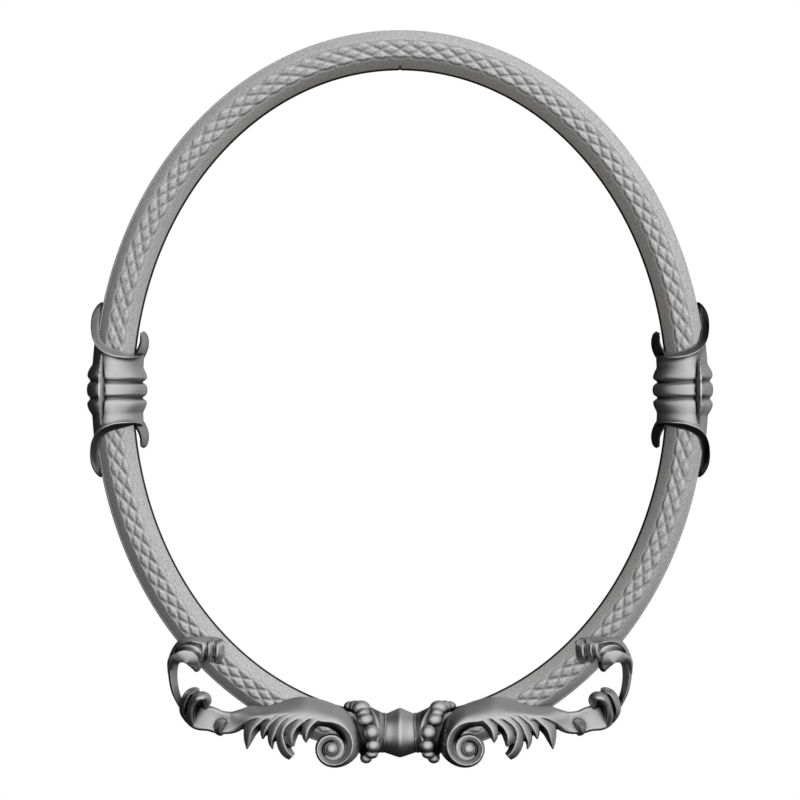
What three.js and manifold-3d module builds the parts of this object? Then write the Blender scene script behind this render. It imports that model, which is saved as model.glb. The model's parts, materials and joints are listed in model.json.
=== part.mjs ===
// Oval wall mirror: a jointed wooden moulding dressed with cast collars, leaf scrolls and tendrils.
// Millimetres. +X is the viewer's right, +Z is up and the front faces -Y.
// The wall is the plane y = 0; the origin is the centre of the oval on that plane.

import * as THREE from "three";
import { mergeVertices } from "three/addons/utils/BufferGeometryUtils.js";
import Module from "manifold-3d";

// Oval moulding
const OVAL_HALF_WIDTH = 286; // to the middle of the moulding
const OVAL_HALF_HEIGHT = 342;
const MOULDING_WIDTH = 40.5;
const MOULDING_SIDE = 14; // straight edge, measured from the back
const MOULDING_CROWN = 14; // rounded front above the straight edge
const REBATE_WIDTH = 8;
const GLASS_THICKNESS = 4;
const BOARD_THICKNESS = 3;
const WALL_GAP = 6; // between the wall and the back of the moulding
const SEAT_GAP = 0.3; // clearance between pieces that touch
const BISCUIT = { length: 46, width: 13, thickness: 4, out: 6, depth: 13 };

// Collars: the build-up is the metal over the moulding, the rim is measured along it from the middle
const COLLAR_RISE = 2.5; // the side collars sit a little above the side joints
const SIDE_COLLAR = {
  swell: [[0, 1], [4.5, 0.93], [8.5, 0.68], [14, 0.94], [23, 0.62], [33, 0.48]],
  build: { outer: 7.2, front: 9, inner: 13.3 },
  rim: { outer: 86, front: 36.5, inner: 58 },
  rimPower: { outer: 1.5, inner: 3 },
  flare: { outer: 6.4, front: 0.6, inner: 4 },
  lip: { outer: 4.2, front: 6, inner: 8 },
  lipThickness: { outer: 2.6, front: 2.6, inner: 5.5 },
  fold: { depth: 3.2, turn: 56, halfTurn: 13, reach: 50 }, // a crease down the outer shoulder
  turns: [-30, -10, 8, 26, 43, 52, 60, 69, 84, 104, 124, 142, 156, 170, 186, 210],
};
const FOOT_COLLAR = {
  swell: [[0, 1], [5, 0.7], [9, 0.5], [12.5, 0.4], [14, 0.55], [16, 0.45]],
  build: { outer: 4.2, front: 7, inner: 6.6 },
  rim: { outer: 32, front: 23, inner: 43 },
  rimPower: { outer: 1.8, inner: 1.8 },
  flare: { outer: 0, front: 0, inner: 0 },
  lip: { outer: 5, front: 6.5, inner: 8 },
  lipThickness: { outer: 2.4, front: 2.4, inner: 2.4 },
  fold: { depth: 0, turn: 56, halfTurn: 13, reach: 50 },
  turns: [-30, -8, 16, 40, 65, 90, 115, 140, 164, 188, 210],
};
const PEARL_RADIUS = 6.1;
const PEARL_SPACING = 11.3;
const PEARL_SEAT = { beyondRim: 4.7, height: 5.6, from: 12, to: 164 }; // middles of the pearls

// Scroll: a leaf that starts in a cuff and rolls up into a volute beside the foot collar
const EYE = { across: 68, up: -15, depth: 37, radius: 6.6 };
const EYE_WEB = { radius: 14, thickness: 6, behind: 6 }; // fills the roll round the eye
const VOLUTE = { core: 8, reach: 29, shrink: 0.6, quarters: 5.6, depth: 35, dip: 3 };
const VOLUTE_BAND = { half: 3.2, extraHalf: 6.3, thickness: 6, extraThickness: 3 };

// The leaf from its cuff to the start of the volute. Like every stem below it is a row of stations
// [across, up, depth, half width, half thickness], here counted from the foot of the oval.
const LEAF = [
  [209, 17, 22, 7, 5], [199, 13, 21, 10.5, 6], [187, 14, 21, 11.7, 6], [169, 13.5, 22, 9, 6.5],
  [156, 16, 25, 9.5, 7.5], [140, 20, 29, 9, 8.5], [120, 22, 33, 10.5, 9], [100, 23, 35, 12.5, 9.5],
  [85, 23, 35.5, 13, 9.5], [70, 21.5, 35.5, 10.5, 9], [55.4, 15.4, 35, 7.5, 8.3],
];
const LEAFLETS = [
  [[138, 17, 29, 7, 6], [146, 8, 28, 7, 5.5], [150.5, -3, 26, 5, 4], [152.5, -15, 24, 0.8, 1.5]],
  [[124, 19, 32, 7, 6], [133, 9, 31, 6.8, 5.5], [136.5, 2, 29, 4.6, 4], [136.6, -5, 27, 0.8, 1.5]],
  [[116, 19, 34, 7, 6.5], [125, 7, 33, 7.4, 6], [128, -3, 30, 5.4, 5], [126.3, -15, 27, 0.8, 1.5]],
  [
    [107, 18, 35, 7, 6.5], [116, 4, 34, 7.4, 6], [118.5, -10, 31, 5.8, 5],
    [113, -19.5, 29, 5, 5], [105, -19.5, 29, 2.8, 3],
  ],
  [[97, 17, 36, 7, 6.5], [105, 6, 35, 6.6, 6], [107.5, -4, 33, 5, 5], [106.5, -11.5, 31, 2.6, 3]],
  [[84, 19, 36, 7, 6.5], [91, 10, 36, 7, 6], [95, 1, 35, 5.2, 5], [93.2, -8, 33, 0.8, 1.5]],
];
const SIDE_CURL = [
  [158, 8, 23, 4, 4], [166, 2, 23, 4.6, 5], [174, 0, 24, 4.6, 5], [180, 6, 25, 4, 4.5],
  [178, 12, 25, 2.5, 3],
];
const CUFF = [
  [208, 14, 23, 8, 6], [211, 24, 24, 8, 7], [209.5, 34, 26, 9, 8], [203, 38, 28, 9.5, 8.5],
  [196, 36, 29, 9, 8], [193.5, 31, 28, 6, 6], [195.5, 26, 26, 1.5, 3],
];

// Tendril: from behind the cuff up to a hook and a ribbed curl that sits on the moulding.
// Its stations are counted from the point that lies this far along the moulding from the foot.
const TENDRIL_ALONG = 212.6;
const TENDRIL_HOOK = [
  [29, -58, 16, 3, 4], [36, -40, 17, 3.3, 5], [38.2, -21.6, 20, 4.8, 6], [35, -9, 24, 7.5, 7],
  [27, -4.6, 28, 9, 8], [18, -6.6, 31, 8.5, 7], [13.4, -12.6, 32, 5.5, 6], [16.4, -21, 31, 1, 2],
];
const TENDRIL_CURL = [
  [37, 0.5, 25, 3, 6], [28.4, 8.2, 29, 4, 7], [19, 8.9, 32, 4.5, 8], [9.4, 5.4, 34, 6.5, 8],
  [1.4, 0.4, 36, 10.5, 8], [-1.6, -7.6, 36, 11.2, 7], [-2.2, -13.8, 35, 9, 5],
];

// Fittings on the back, with angles in degrees from the crown
const BUTTON = { length: 28, width: 11, thickness: 1.5, tail: 6, out: -5 };
const BUTTON_ANGLES = { upper: 55, lower: 125 };
const HANGER = { angle: 70, out: 1.5, width: 12, length: 30, sheet: 1.2, wire: 1.5 };
const HANGER_RING = { halfWidth: 9.2, reach: 14.5, knee: 1, rise: 2, straight: 4, shoulder: 2.5 };
const BUMPER = { radius: 7, out: 4 };
const BUMPER_ANGLES = { upper: 28, lower: 152 };

// Screws: a casting screw bites this far into the metal in front of the moulding
const SCREW = { shank: 1.8, head: 3.6, headHeight: 2, point: 2, sunk: 0.3 };
const COLLAR_SCREW = { along: 14, out: -5, bite: 6.7 };
const FOOT_COLLAR_SCREW = { along: 6, out: -6, bite: 3.4 };
const LEAF_SCREW = { along: 94, out: -1.8, bite: 9.4 };
const VOLUTE_SCREW = { along: 46, out: 1, bite: 9.3 };
const TENDRIL_SCREW = { along: TENDRIL_ALONG - 3.6, out: 2, bite: 8.4 };
const BACK_SCREW_LENGTH = 16;
const STRAP_SCREWS = { upper: 13, lower: 24 }; // below the ring's pin

// Finishes
const FINISH = {
  paint: { color: 0xb9b7b3, roughness: 0.6, metalness: 0 },
  casting: { color: 0x7c7b79, roughness: 0.42, metalness: 0.6 },
  silvering: { color: 0xe9eced, roughness: 0.03, metalness: 1 },
  hardboard: { color: 0x6b5338, roughness: 0.85, metalness: 0 },
  beech: { color: 0xc9a577, roughness: 0.7, metalness: 0 },
  steel: { color: 0x9c9da0, roughness: 0.35, metalness: 0.9 },
  rubber: { color: 0x2b2b2b, roughness: 0.85, metalness: 0 },
};

// Smoothness
const OVAL_STEPS = 14; // in each quarter
const CROWN_STEPS = 8;
const LIP_STEPS = 3;
const STEM_SIDES = 6;
const STEM_STEPS = 1.35; // between two stations
const VOLUTE_STEPS = 18;
const SCREW_SIDES = 6;

const wasm = await Module();
wasm.setup();
const { sin, cos, sqrt, exp, abs, max, PI } = Math;
const halfMoulding = MOULDING_WIDTH / 2;
const rebateDepth = GLASS_THICKNESS + BOARD_THICKNESS + 3 * SEAT_GAP;
const radians = THREE.MathUtils.degToRad;
const lerp = THREE.MathUtils.lerp;

// Solids

function solid(geometry) {
  const plain = geometry.clone();
  plain.deleteAttribute("normal");
  plain.deleteAttribute("uv");
  const merged = mergeVertices(plain, 1e-4);
  return new wasm.Manifold(
    new wasm.Mesh({
      numProp: 3,
      vertProperties: Float32Array.from(merged.attributes.position.array),
      triVerts: Uint32Array.from(merged.index.array),
    }),
  );
}

function geometryOf(made) {
  const mesh = made.getMesh();
  const geometry = new THREE.BufferGeometry();
  geometry.setAttribute("position", new THREE.BufferAttribute(mesh.vertProperties, 3));
  geometry.setIndex(new THREE.BufferAttribute(mesh.triVerts, 1));
  return geometry;
}

const joined = (solids) => solids.reduce((whole, piece) => whole.add(piece));
const cutBy = (whole, tools) => tools.reduce((rest, tool) => rest.subtract(tool), whole);
const bothSides = (piece) => [piece, piece.mirror([1, 0, 0])];

// The triangles of a flat outline in space, wound the way the outline runs.
function capTriangles(outline) {
  const normal = new THREE.Vector3();
  outline.forEach((p, i) => normal.add(p.clone().cross(outline[(i + 1) % outline.length])));
  const turn = new THREE.Quaternion().setFromUnitVectors(normal.normalize(), new THREE.Vector3(0, 0, 1));
  const flat = outline.map((p) => {
    const q = p.clone().applyQuaternion(turn);
    return new THREE.Vector2(q.x, q.y);
  });
  return THREE.ShapeUtils.triangulateShape(flat, []).map(([a, b, c]) => {
    const ab = flat[b].clone().sub(flat[a]);
    const ac = flat[c].clone().sub(flat[a]);
    return ab.cross(ac) > 0 ? [a, b, c] : [a, c, b];
  });
}

// A closed solid skinned over a row of like outlines; a looped one joins its last outline to its first.
function loft(outlines, looped = false) {
  const count = outlines[0].length;
  const rows = outlines.length;
  const index = [];
  for (let i = 0; i < (looped ? rows : rows - 1); i++) {
    for (let j = 0; j < count; j++) {
      const a = i * count + j;
      const b = i * count + ((j + 1) % count);
      const c = ((i + 1) % rows) * count + j;
      const d = ((i + 1) % rows) * count + ((j + 1) % count);
      index.push(a, b, c, b, d, c);
    }
  }
  if (!looped) {
    const last = (rows - 1) * count;
    capTriangles(outlines[0]).forEach(([a, b, c]) => index.push(a, c, b));
    capTriangles(outlines[rows - 1]).forEach(([a, b, c]) => index.push(last + a, last + b, last + c));
  }
  return facingOut(outlines.flat(), index);
}

// Six times the volume tells which way the faces look; they are turned round if they look inward.
function facingOut(points, index) {
  let volume = 0;
  for (let i = 0; i < index.length; i += 3) {
    const [a, b, c] = [points[index[i]], points[index[i + 1]], points[index[i + 2]]];
    volume += a.dot(b.clone().cross(c));
  }
  const geometry = new THREE.BufferGeometry().setFromPoints(points);
  geometry.setIndex(volume > 0 ? index : index.reverse());
  return geometry;
}

function extruded(shape, depth) {
  return new THREE.ExtrudeGeometry(shape, { depth, bevelEnabled: false, curveSegments: 5 });
}

// The moulding

// A point given by its angle from the crown, its distance out from the middle of the moulding
// and its depth in front of the moulding's back.
function ovalPoint(angle, out, depth) {
  const normal = ovalNormal(angle);
  return new THREE.Vector3(
    OVAL_HALF_WIDTH * sin(angle) + normal.x * out,
    -WALL_GAP - depth,
    OVAL_HALF_HEIGHT * cos(angle) + normal.z * out,
  );
}

function ovalNormal(angle) {
  return new THREE.Vector3(sin(angle) / OVAL_HALF_WIDTH, 0, cos(angle) / OVAL_HALF_HEIGHT).normalize();
}

// The angle reached by going a distance along the middle of the moulding, in a few short hops.
function along(angle, distance) {
  const hops = 8;
  let reached = angle;
  for (let i = 0; i < hops; i++) {
    const speed = sqrt((OVAL_HALF_WIDTH * cos(reached)) ** 2 + (OVAL_HALF_HEIGHT * sin(reached)) ** 2);
    reached += distance / hops / speed;
  }
  return reached;
}

// How deep the moulding is at a distance out from its middle.
function mouldingDepth(out) {
  return MOULDING_SIDE + MOULDING_CROWN * sqrt(1 - (out / halfMoulding) ** 2);
}

// Outline of the moulding as [out, depth]; the grown one has no rebate and serves to seat castings.
function mouldingOutline(grow = 0) {
  const side = halfMoulding + grow;
  const crown = [];
  for (let i = 0; i <= CROWN_STEPS; i++) {
    const turn = (PI * i) / CROWN_STEPS;
    crown.push([side * cos(turn), MOULDING_SIDE + (MOULDING_CROWN + grow) * sin(turn)]);
  }
  const rebate = [
    [-halfMoulding, rebateDepth],
    [REBATE_WIDTH - halfMoulding, rebateDepth],
    [REBATE_WIDTH - halfMoulding, 0],
  ];
  return [[side, -grow], ...crown, ...(grow ? [[-side, -grow]] : rebate)];
}

function ovalSweep(outline, from, to, steps) {
  const outlines = [];
  for (let i = 0; i <= steps; i++) {
    const angle = lerp(from, to, i / steps);
    outlines.push(outline.map(([out, depth]) => ovalPoint(angle, out, depth)));
  }
  return loft(outlines);
}

function mouldingQuarter(from, to, tools) {
  const start = along(from, SEAT_GAP / 2);
  const end = along(to, -SEAT_GAP / 2);
  return cutBy(solid(ovalSweep(mouldingOutline(), start, end, OVAL_STEPS)), tools);
}

// A flat plate that lies in the rebate, with room at its edge.
function ovalPlate(thickness, depth) {
  const edge = REBATE_WIDTH - halfMoulding - 3 * SEAT_GAP;
  const outline = (d) =>
    Array.from({ length: 4 * OVAL_STEPS }, (_, i) => ovalPoint((PI * i) / (2 * OVAL_STEPS), edge, d));
  return loft([outline(depth), outline(depth + thickness)]);
}

// A lens-shaped biscuit that crosses a joint.
function biscuit(angle, grow = 0) {
  const half = BISCUIT.length / 2 + grow;
  const sag = BISCUIT.width / 2 + grow;
  const shape = new THREE.Shape();
  shape.moveTo(-half, 0);
  shape.quadraticCurveTo(0, 2 * sag, half, 0);
  shape.quadraticCurveTo(0, -2 * sag, -half, 0);
  const plate = extruded(shape, BISCUIT.thickness + 2 * grow);
  plate.translate(0, 0, BISCUIT.depth - grow);
  return plate.applyMatrix4(seat(ovalPoint(angle, BISCUIT.out, 0), ovalNormal(angle)));
}

// Stands a piece drawn in x and y, with its height along z, on the back plane at a point.
// The piece's y runs along the given direction and its z towards the viewer.
function seat(point, direction) {
  const front = new THREE.Vector3(0, -1, 0);
  const sideways = direction.clone().cross(front);
  return new THREE.Matrix4().makeBasis(sideways, direction, front).setPosition(point);
}

// Collars

// A point on a skin that lies a given height over the moulding: the turn runs from the outer edge
// over the front to the inner edge, and beyond both ends down the straight sides, on the inner
// side as far as the glass.
function skinPoint(angle, turn, height) {
  const side = halfMoulding + height;
  const outerFall = ((MOULDING_SIDE - 1) * 6) / PI;
  const innerFall = ((MOULDING_SIDE - rebateDepth - SEAT_GAP) * 6) / PI;
  if (turn < 0) return ovalPoint(angle, side, MOULDING_SIDE + outerFall * turn);
  if (turn > PI) return ovalPoint(angle, -side, MOULDING_SIDE - innerFall * (turn - PI));
  return ovalPoint(angle, side * cos(turn), MOULDING_SIDE + (MOULDING_CROWN + height) * sin(turn));
}

// Blends the outer, front and inner values of a collar round the moulding.
function round(values, turn) {
  const share = turn < 0 || turn > PI ? 1 : cos(turn) ** 2;
  return lerp(values.front, turn < PI / 2 ? values.outer : values.inner, share);
}

// How far along the moulding the rim stands: the neckline dips in front, rises to a horn each side
// and falls a little behind the horn.
function rimAt(collar, turn) {
  const { rim, rimPower } = collar;
  const side = turn < PI / 2 ? "outer" : "inner";
  const reach = (2 / PI) * abs(turn - PI / 2);
  const rise = rim[side] - rim.front;
  return rim.front + rise * (Math.min(1, reach) ** rimPower[side] - 0.8 * max(0, reach - 1));
}

// How deep the crease in the outer shoulder is: it fades sideways and along the moulding.
function foldAt({ fold }, turn, distance) {
  const sideways = max(0, 1 - abs(turn - radians(fold.turn)) / radians(fold.halfTurn));
  return fold.depth * sideways * max(0, 1 - (distance / fold.reach) ** 2);
}

// Stations from rim to rim: the turned body has fixed distances, the lip runs on to the rim.
function collarStations(collar) {
  const body = collar.swell.map(([distance, swell]) => ({ distance, swell, lip: 0 }));
  const neck = body.at(-1);
  const lip = Array.from({ length: LIP_STEPS }, (_, i) => ({ ...neck, lip: (i + 1) / LIP_STEPS }));
  const half = [...body, ...lip];
  const mirrored = half.slice(1).reverse();
  return [...mirrored.map((s) => ({ ...s, side: -1 })), ...half.map((s) => ({ ...s, side: 1 }))];
}

// The body is solid down into the moulding, which is cut out of it later; the lip is a thin shell.
function collarShell(collar, middle) {
  const sunk = -1;
  const outlines = collarStations(collar).map(({ distance, swell, lip, side }) => {
    const top = [];
    const under = [];
    for (const turn of collar.turns.map(radians)) {
      const reach = lerp(distance, rimAt(collar, turn), lip);
      const body = swell * round(collar.build, turn) - foldAt(collar, turn, reach);
      const flare = round(collar.flare, turn) * sin(PI * lip);
      const height = lerp(body, round(collar.lip, turn), lip) + flare;
      const shell = max(sunk, height - round(collar.lipThickness, turn));
      const angle = along(middle, side * reach);
      top.push(skinPoint(angle, turn, height));
      under.push(skinPoint(angle, turn, lip > 0 ? shell : sunk));
    }
    return [...top, ...under.reverse()];
  });
  return loft(outlines);
}

// Pearls strung along the right rim of the foot collar, evenly spaced from the outer to the inner horn.
function pearlString(grow = 0) {
  const rimCurve = [];
  for (let degrees = PEARL_SEAT.from; degrees <= PEARL_SEAT.to; degrees += 4) {
    const turn = radians(degrees);
    const angle = along(PI, -rimAt(FOOT_COLLAR, turn) - PEARL_SEAT.beyondRim);
    rimCurve.push(skinPoint(angle, turn, PEARL_SEAT.height));
  }
  const curve = new THREE.CatmullRomCurve3(rimCurve);
  const count = Math.round(curve.getLength() / PEARL_SPACING);
  const pearls = curve.getSpacedPoints(count).map((centre) => {
    const pearl = new THREE.IcosahedronGeometry(PEARL_RADIUS + grow, 1);
    return solid(pearl.translate(centre.x, centre.y, centre.z));
  });
  return joined(pearls);
}

// Scrolls and tendrils

// A tapering stem, smooth through its stations; its oval section keeps square to its run.
function stem(anchor, stations, grow, steps = Math.round(STEM_STEPS * (stations.length - 1))) {
  const spine = new THREE.CatmullRomCurve3(
    stations.map(([x, z, depth]) => new THREE.Vector3(anchor.x + x, -WALL_GAP - depth, anchor.z + z)),
  );
  const girth = new THREE.CatmullRomCurve3(stations.map((s) => new THREE.Vector3(s[3], s[4], 0)));
  const outlines = [];
  for (let i = 0; i <= steps; i++) {
    const middle = spine.getPoint(i / steps);
    const size = girth.getPoint(i / steps);
    const tangent = spine.getTangent(i / steps).setY(0).normalize();
    const sideways = new THREE.Vector3(-tangent.z, 0, tangent.x);
    outlines.push(
      Array.from({ length: STEM_SIDES }, (_, j) => {
        const turn = (2 * PI * j) / STEM_SIDES;
        const point = middle.clone().addScaledVector(sideways, (size.x + grow) * cos(turn));
        return point.setY(point.y + (size.y + grow) * sin(turn));
      }),
    );
  }
  return solid(loft(outlines));
}

// The roll draws in towards the eye, thinner and thinner, and dips a little on the way.
function volute(anchor, grow) {
  const stations = [];
  for (let i = 0; i <= VOLUTE_STEPS; i++) {
    const quarter = (VOLUTE.quarters * i) / VOLUTE_STEPS;
    const turn = (quarter * PI) / 2;
    const fade = exp(-VOLUTE.shrink * quarter);
    const radius = VOLUTE.core + VOLUTE.reach * fade;
    stations.push([
      EYE.across - radius * sin(turn),
      EYE.up + radius * cos(turn),
      VOLUTE.depth - VOLUTE.dip * sin((PI * i) / VOLUTE_STEPS),
      VOLUTE_BAND.half + VOLUTE_BAND.extraHalf * fade,
      VOLUTE_BAND.thickness + VOLUTE_BAND.extraThickness * fade,
    ]);
  }
  return stem(anchor, stations, grow, VOLUTE_STEPS);
}

function scroll(anchor, grow = 0) {
  const centre = anchor.clone().add(new THREE.Vector3(EYE.across, -EYE.depth, EYE.up));
  const eye = new THREE.IcosahedronGeometry(EYE.radius + grow, 1);
  eye.translate(centre.x, centre.y, centre.z);
  const webRadius = EYE_WEB.radius + grow;
  const web = new THREE.CylinderGeometry(webRadius, webRadius, EYE_WEB.thickness + 2 * grow, 12);
  web.translate(centre.x, centre.y + EYE_WEB.behind, centre.z);
  const stems = [LEAF, ...LEAFLETS, SIDE_CURL, CUFF].map((stations) => stem(anchor, stations, grow));
  return joined([...stems, volute(anchor, grow), solid(eye), solid(web)]);
}

function tendril(anchor, grow = 0) {
  return stem(anchor, TENDRIL_HOOK, grow).add(stem(anchor, TENDRIL_CURL, grow));
}

// Fittings

// A screw that enters from the back: its head starts at a depth and its shank runs on from there.
// With growth it is the hole for the screw, open beyond the head.
function screw(x, z, headDepth, length, grow = 0) {
  const reach = grow ? 1 / cos(PI / SCREW_SIDES) : 1;
  const head = (SCREW.head + grow) * reach;
  const shank = (SCREW.shank + grow) * reach;
  const start = grow ? -SCREW.headHeight : 0;
  const profile = [
    [0, start], [head, start], [head, SCREW.headHeight + grow], [shank, SCREW.headHeight + grow],
    [shank, length - SCREW.point + grow], [0, length + grow],
  ].map(([radius, height]) => new THREE.Vector2(radius, height));
  const turned = new THREE.LatheGeometry(profile, SCREW_SIDES).rotateX(PI);
  return solid(turned.translate(x, -WALL_GAP - headDepth, z));
}

function turnButton(angle) {
  const half = BUTTON.width / 2;
  const tip = BUTTON.length - BUTTON.tail - half;
  const shape = new THREE.Shape();
  shape.absarc(0, half - BUTTON.tail, half, -PI, 0);
  shape.absarc(0, tip, half, 0, PI);
  const hole = (SCREW.shank + SEAT_GAP) / cos(PI / SCREW_SIDES);
  shape.holes.push(new THREE.Path().absarc(0, 0, hole, 0, 2 * PI));
  const plate = extruded(shape, BUTTON.thickness);
  const point = ovalPoint(angle, BUTTON.out, -SEAT_GAP - BUTTON.thickness);
  return plate.applyMatrix4(seat(point, ovalNormal(angle).negate()));
}

// The strap is a folded sheet seen from its edge: a plate with a knuckle round the ring's wire.
function strap(centre, pin) {
  const { width, length, sheet, wire } = HANGER;
  const bore = wire + 2 * SEAT_GAP;
  const shape = new THREE.Shape();
  shape.moveTo(SEAT_GAP, -length);
  shape.lineTo(SEAT_GAP + sheet, -length);
  shape.lineTo(SEAT_GAP + sheet, -2 * wire);
  shape.absarc(pin, 0, bore + sheet, -PI * 0.75, PI * 0.75, false);
  shape.lineTo(SEAT_GAP, 0);
  shape.holes.push(new THREE.Path().absarc(pin, 0, bore, 0, 2 * PI));
  const [x, y, z] = [0, 1, 2].map((axis) => new THREE.Vector3().setComponent(axis, 1));
  const folded = extruded(shape, width).applyMatrix4(new THREE.Matrix4().makeBasis(y, z, x));
  return folded.translate(centre.x - width / 2, -WALL_GAP, centre.z);
}

// The ring is a bent wire: a straight pin in the knuckle and a bow that leans on the moulding.
function hangerRing(centre, pin) {
  const { halfWidth, reach, knee, rise, straight, shoulder } = HANGER_RING;
  const half = [
    [HANGER.width / 2 + knee, 0], [halfWidth, rise], [halfWidth, rise + straight],
    [0.7 * halfWidth, reach - shoulder],
  ];
  const otherHalf = half.map(([x, z]) => [-x, z]).reverse();
  const bow = [[0, 0], ...half, [0, reach], ...otherHalf];
  const lean = (pin - HANGER.wire - SEAT_GAP) / reach;
  const curve = new THREE.CatmullRomCurve3(
    bow.map(([x, z]) => new THREE.Vector3(centre.x + x, -WALL_GAP + pin - lean * z, centre.z + z)),
    true,
  );
  const steps = 20;
  const flatNormal = new THREE.Vector3(0, 1, lean).normalize();
  const outlines = Array.from({ length: steps }, (_, i) => {
    const sideways = curve.getTangent(i / steps).cross(flatNormal).normalize();
    return Array.from({ length: 6 }, (_unused, j) => {
      const turn = (2 * PI * j) / 6;
      return curve
        .getPoint(i / steps)
        .addScaledVector(sideways, HANGER.wire * cos(turn))
        .addScaledVector(flatNormal, HANGER.wire * sin(turn));
    });
  });
  return loft(outlines, true);
}

function bumper(angle) {
  const disc = new THREE.CylinderGeometry(BUMPER.radius, BUMPER.radius, WALL_GAP, 16);
  const point = ovalPoint(angle, BUMPER.out, 0);
  return disc.translate(point.x, -WALL_GAP / 2, point.z);
}

// Places on the right half; the left half mirrors it

const foot = ovalPoint(PI, 0, 0);
const sideMiddle = along(PI / 2, -COLLAR_RISE);
const tendrilAnchor = ovalPoint(along(PI, -TENDRIL_ALONG), 0, 0);
const hangerCentre = ovalPoint(radians(HANGER.angle), HANGER.out, 0);
const hangerPin = SEAT_GAP + HANGER.wire + 2 * SEAT_GAP + HANGER.sheet;
const middleButtons = { turn_button_crown: 0, turn_button_foot: PI };

const upFromFoot = (spot) => ({ ...spot, angle: along(PI, -spot.along) });
const castingScrews = {
  collar_screw_upper: { ...COLLAR_SCREW, angle: along(sideMiddle, -COLLAR_SCREW.along) },
  collar_screw_lower: { ...COLLAR_SCREW, angle: along(sideMiddle, COLLAR_SCREW.along) },
  foot_collar_screw: upFromFoot(FOOT_COLLAR_SCREW),
  scroll_screw_leaf: upFromFoot(LEAF_SCREW),
  scroll_screw_volute: upFromFoot(VOLUTE_SCREW),
  tendril_screw: upFromFoot(TENDRIL_SCREW),
};
const buttonScrewPoint = (angle) => ovalPoint(angle, BUTTON.out, 0);
const buttonScrewDepth = -2 * SEAT_GAP - BUTTON.thickness - SCREW.headHeight;
const strapScrewDepth = -2 * SEAT_GAP - HANGER.sheet - SCREW.headHeight;
const backScrews = {};
for (const [level, degrees] of Object.entries(BUTTON_ANGLES)) {
  backScrews[`turn_button_screw_${level}`] = [buttonScrewPoint(radians(degrees)), buttonScrewDepth];
}
for (const [level, below] of Object.entries(STRAP_SCREWS)) {
  const point = hangerCentre.clone().add(new THREE.Vector3(0, 0, -below));
  backScrews[`hanger_screw_${level}`] = [point, strapScrewDepth];
}

// One call gives the screw itself, or with growth the hole that takes it.
function everyScrew(grow) {
  const made = {};
  for (const [name, { angle, out, bite }] of Object.entries(castingScrews)) {
    const point = ovalPoint(angle, out, 0);
    made[name] = screw(point.x, point.z, SCREW.sunk, mouldingDepth(out) + bite - SCREW.sunk, grow);
  }
  for (const [name, [point, depth]] of Object.entries(backScrews)) {
    made[name] = screw(point.x, point.z, depth, BACK_SCREW_LENGTH, grow);
  }
  for (const [name, angle] of Object.entries(middleButtons)) {
    const point = buttonScrewPoint(angle);
    made[`${name}_screw`] = screw(point.x, point.z, buttonScrewDepth, BACK_SCREW_LENGTH, grow);
  }
  return made;
}

// Assembly

const mirrorX = new THREE.Matrix4().makeScale(-1, 1, 1);
const screws = everyScrew(0);
const holes = Object.values(everyScrew(SEAT_GAP));
// The seat runs facet for facet from above the side collar to beyond the foot collar.
const step = PI / 2 / OVAL_STEPS;
const spare = Math.ceil(OVAL_STEPS / 3);
const seatFrom = PI / 2 - spare * step;
const seatTo = PI + spare * step;
const seatOfCastings = solid(
  ovalSweep(mouldingOutline(SEAT_GAP), seatFrom, seatTo, OVAL_STEPS + 2 * spare),
);
const biscuitAngles = { crown: 0, right: PI / 2, foot: PI, left: 1.5 * PI };
const slots = Object.values(biscuitAngles).map((angle) => solid(biscuit(angle, SEAT_GAP)));

const scrollRight = cutBy(scroll(foot), [seatOfCastings, ...holes]);
const scrollRoom = scroll(foot, SEAT_GAP);
const tendrilRight = cutBy(tendril(tendrilAnchor), [seatOfCastings, scrollRoom, ...holes]);
const collarRight = cutBy(solid(collarShell(SIDE_COLLAR, sideMiddle)), [seatOfCastings, ...holes]);
const footCollar = cutBy(solid(collarShell(FOOT_COLLAR, PI)), [
  seatOfCastings,
  ...bothSides(scrollRoom),
  ...bothSides(pearlString(SEAT_GAP)),
  ...bothSides(everyScrew(SEAT_GAP).foot_collar_screw),
]);
const pearlsRight = cutBy(pearlString(), [seatOfCastings, scrollRoom]);

const group = new THREE.Group();
group.name = "oval_wall_mirror";

function add(name, finish, geometry, mirrored = false) {
  const mesh = new THREE.Mesh(geometry, new THREE.MeshStandardMaterial(finish));
  mesh.name = name;
  if (mirrored) mesh.applyMatrix4(mirrorX);
  group.add(mesh);
}

function addPair(name, finish, geometry) {
  add(`${name}_right`, finish, geometry);
  add(`${name}_left`, finish, geometry, true);
}

const cuts = [...slots, ...holes];
addPair("moulding_upper", FINISH.paint, geometryOf(mouldingQuarter(0, PI / 2, cuts)));
addPair("moulding_lower", FINISH.paint, geometryOf(mouldingQuarter(PI / 2, PI, cuts)));
for (const [name, angle] of Object.entries(biscuitAngles)) {
  add(`biscuit_${name}`, FINISH.beech, biscuit(angle));
}
const glassDepth = rebateDepth - SEAT_GAP - GLASS_THICKNESS;
add("mirror_glass", FINISH.silvering, ovalPlate(GLASS_THICKNESS, glassDepth));
add("backing_board", FINISH.hardboard, ovalPlate(BOARD_THICKNESS, SEAT_GAP));
addPair("side_collar", FINISH.casting, geometryOf(collarRight));
add("foot_collar", FINISH.casting, geometryOf(footCollar));
addPair("pearl_string", FINISH.casting, geometryOf(pearlsRight));
addPair("scroll", FINISH.casting, geometryOf(scrollRight));
addPair("tendril", FINISH.casting, geometryOf(tendrilRight));
for (const [level, degrees] of Object.entries(BUTTON_ANGLES)) {
  addPair(`turn_button_${level}`, FINISH.steel, turnButton(radians(degrees)));
}
for (const [name, angle] of Object.entries(middleButtons)) {
  add(name, FINISH.steel, turnButton(angle));
  add(`${name}_screw`, FINISH.steel, geometryOf(screws[`${name}_screw`]));
}
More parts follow.
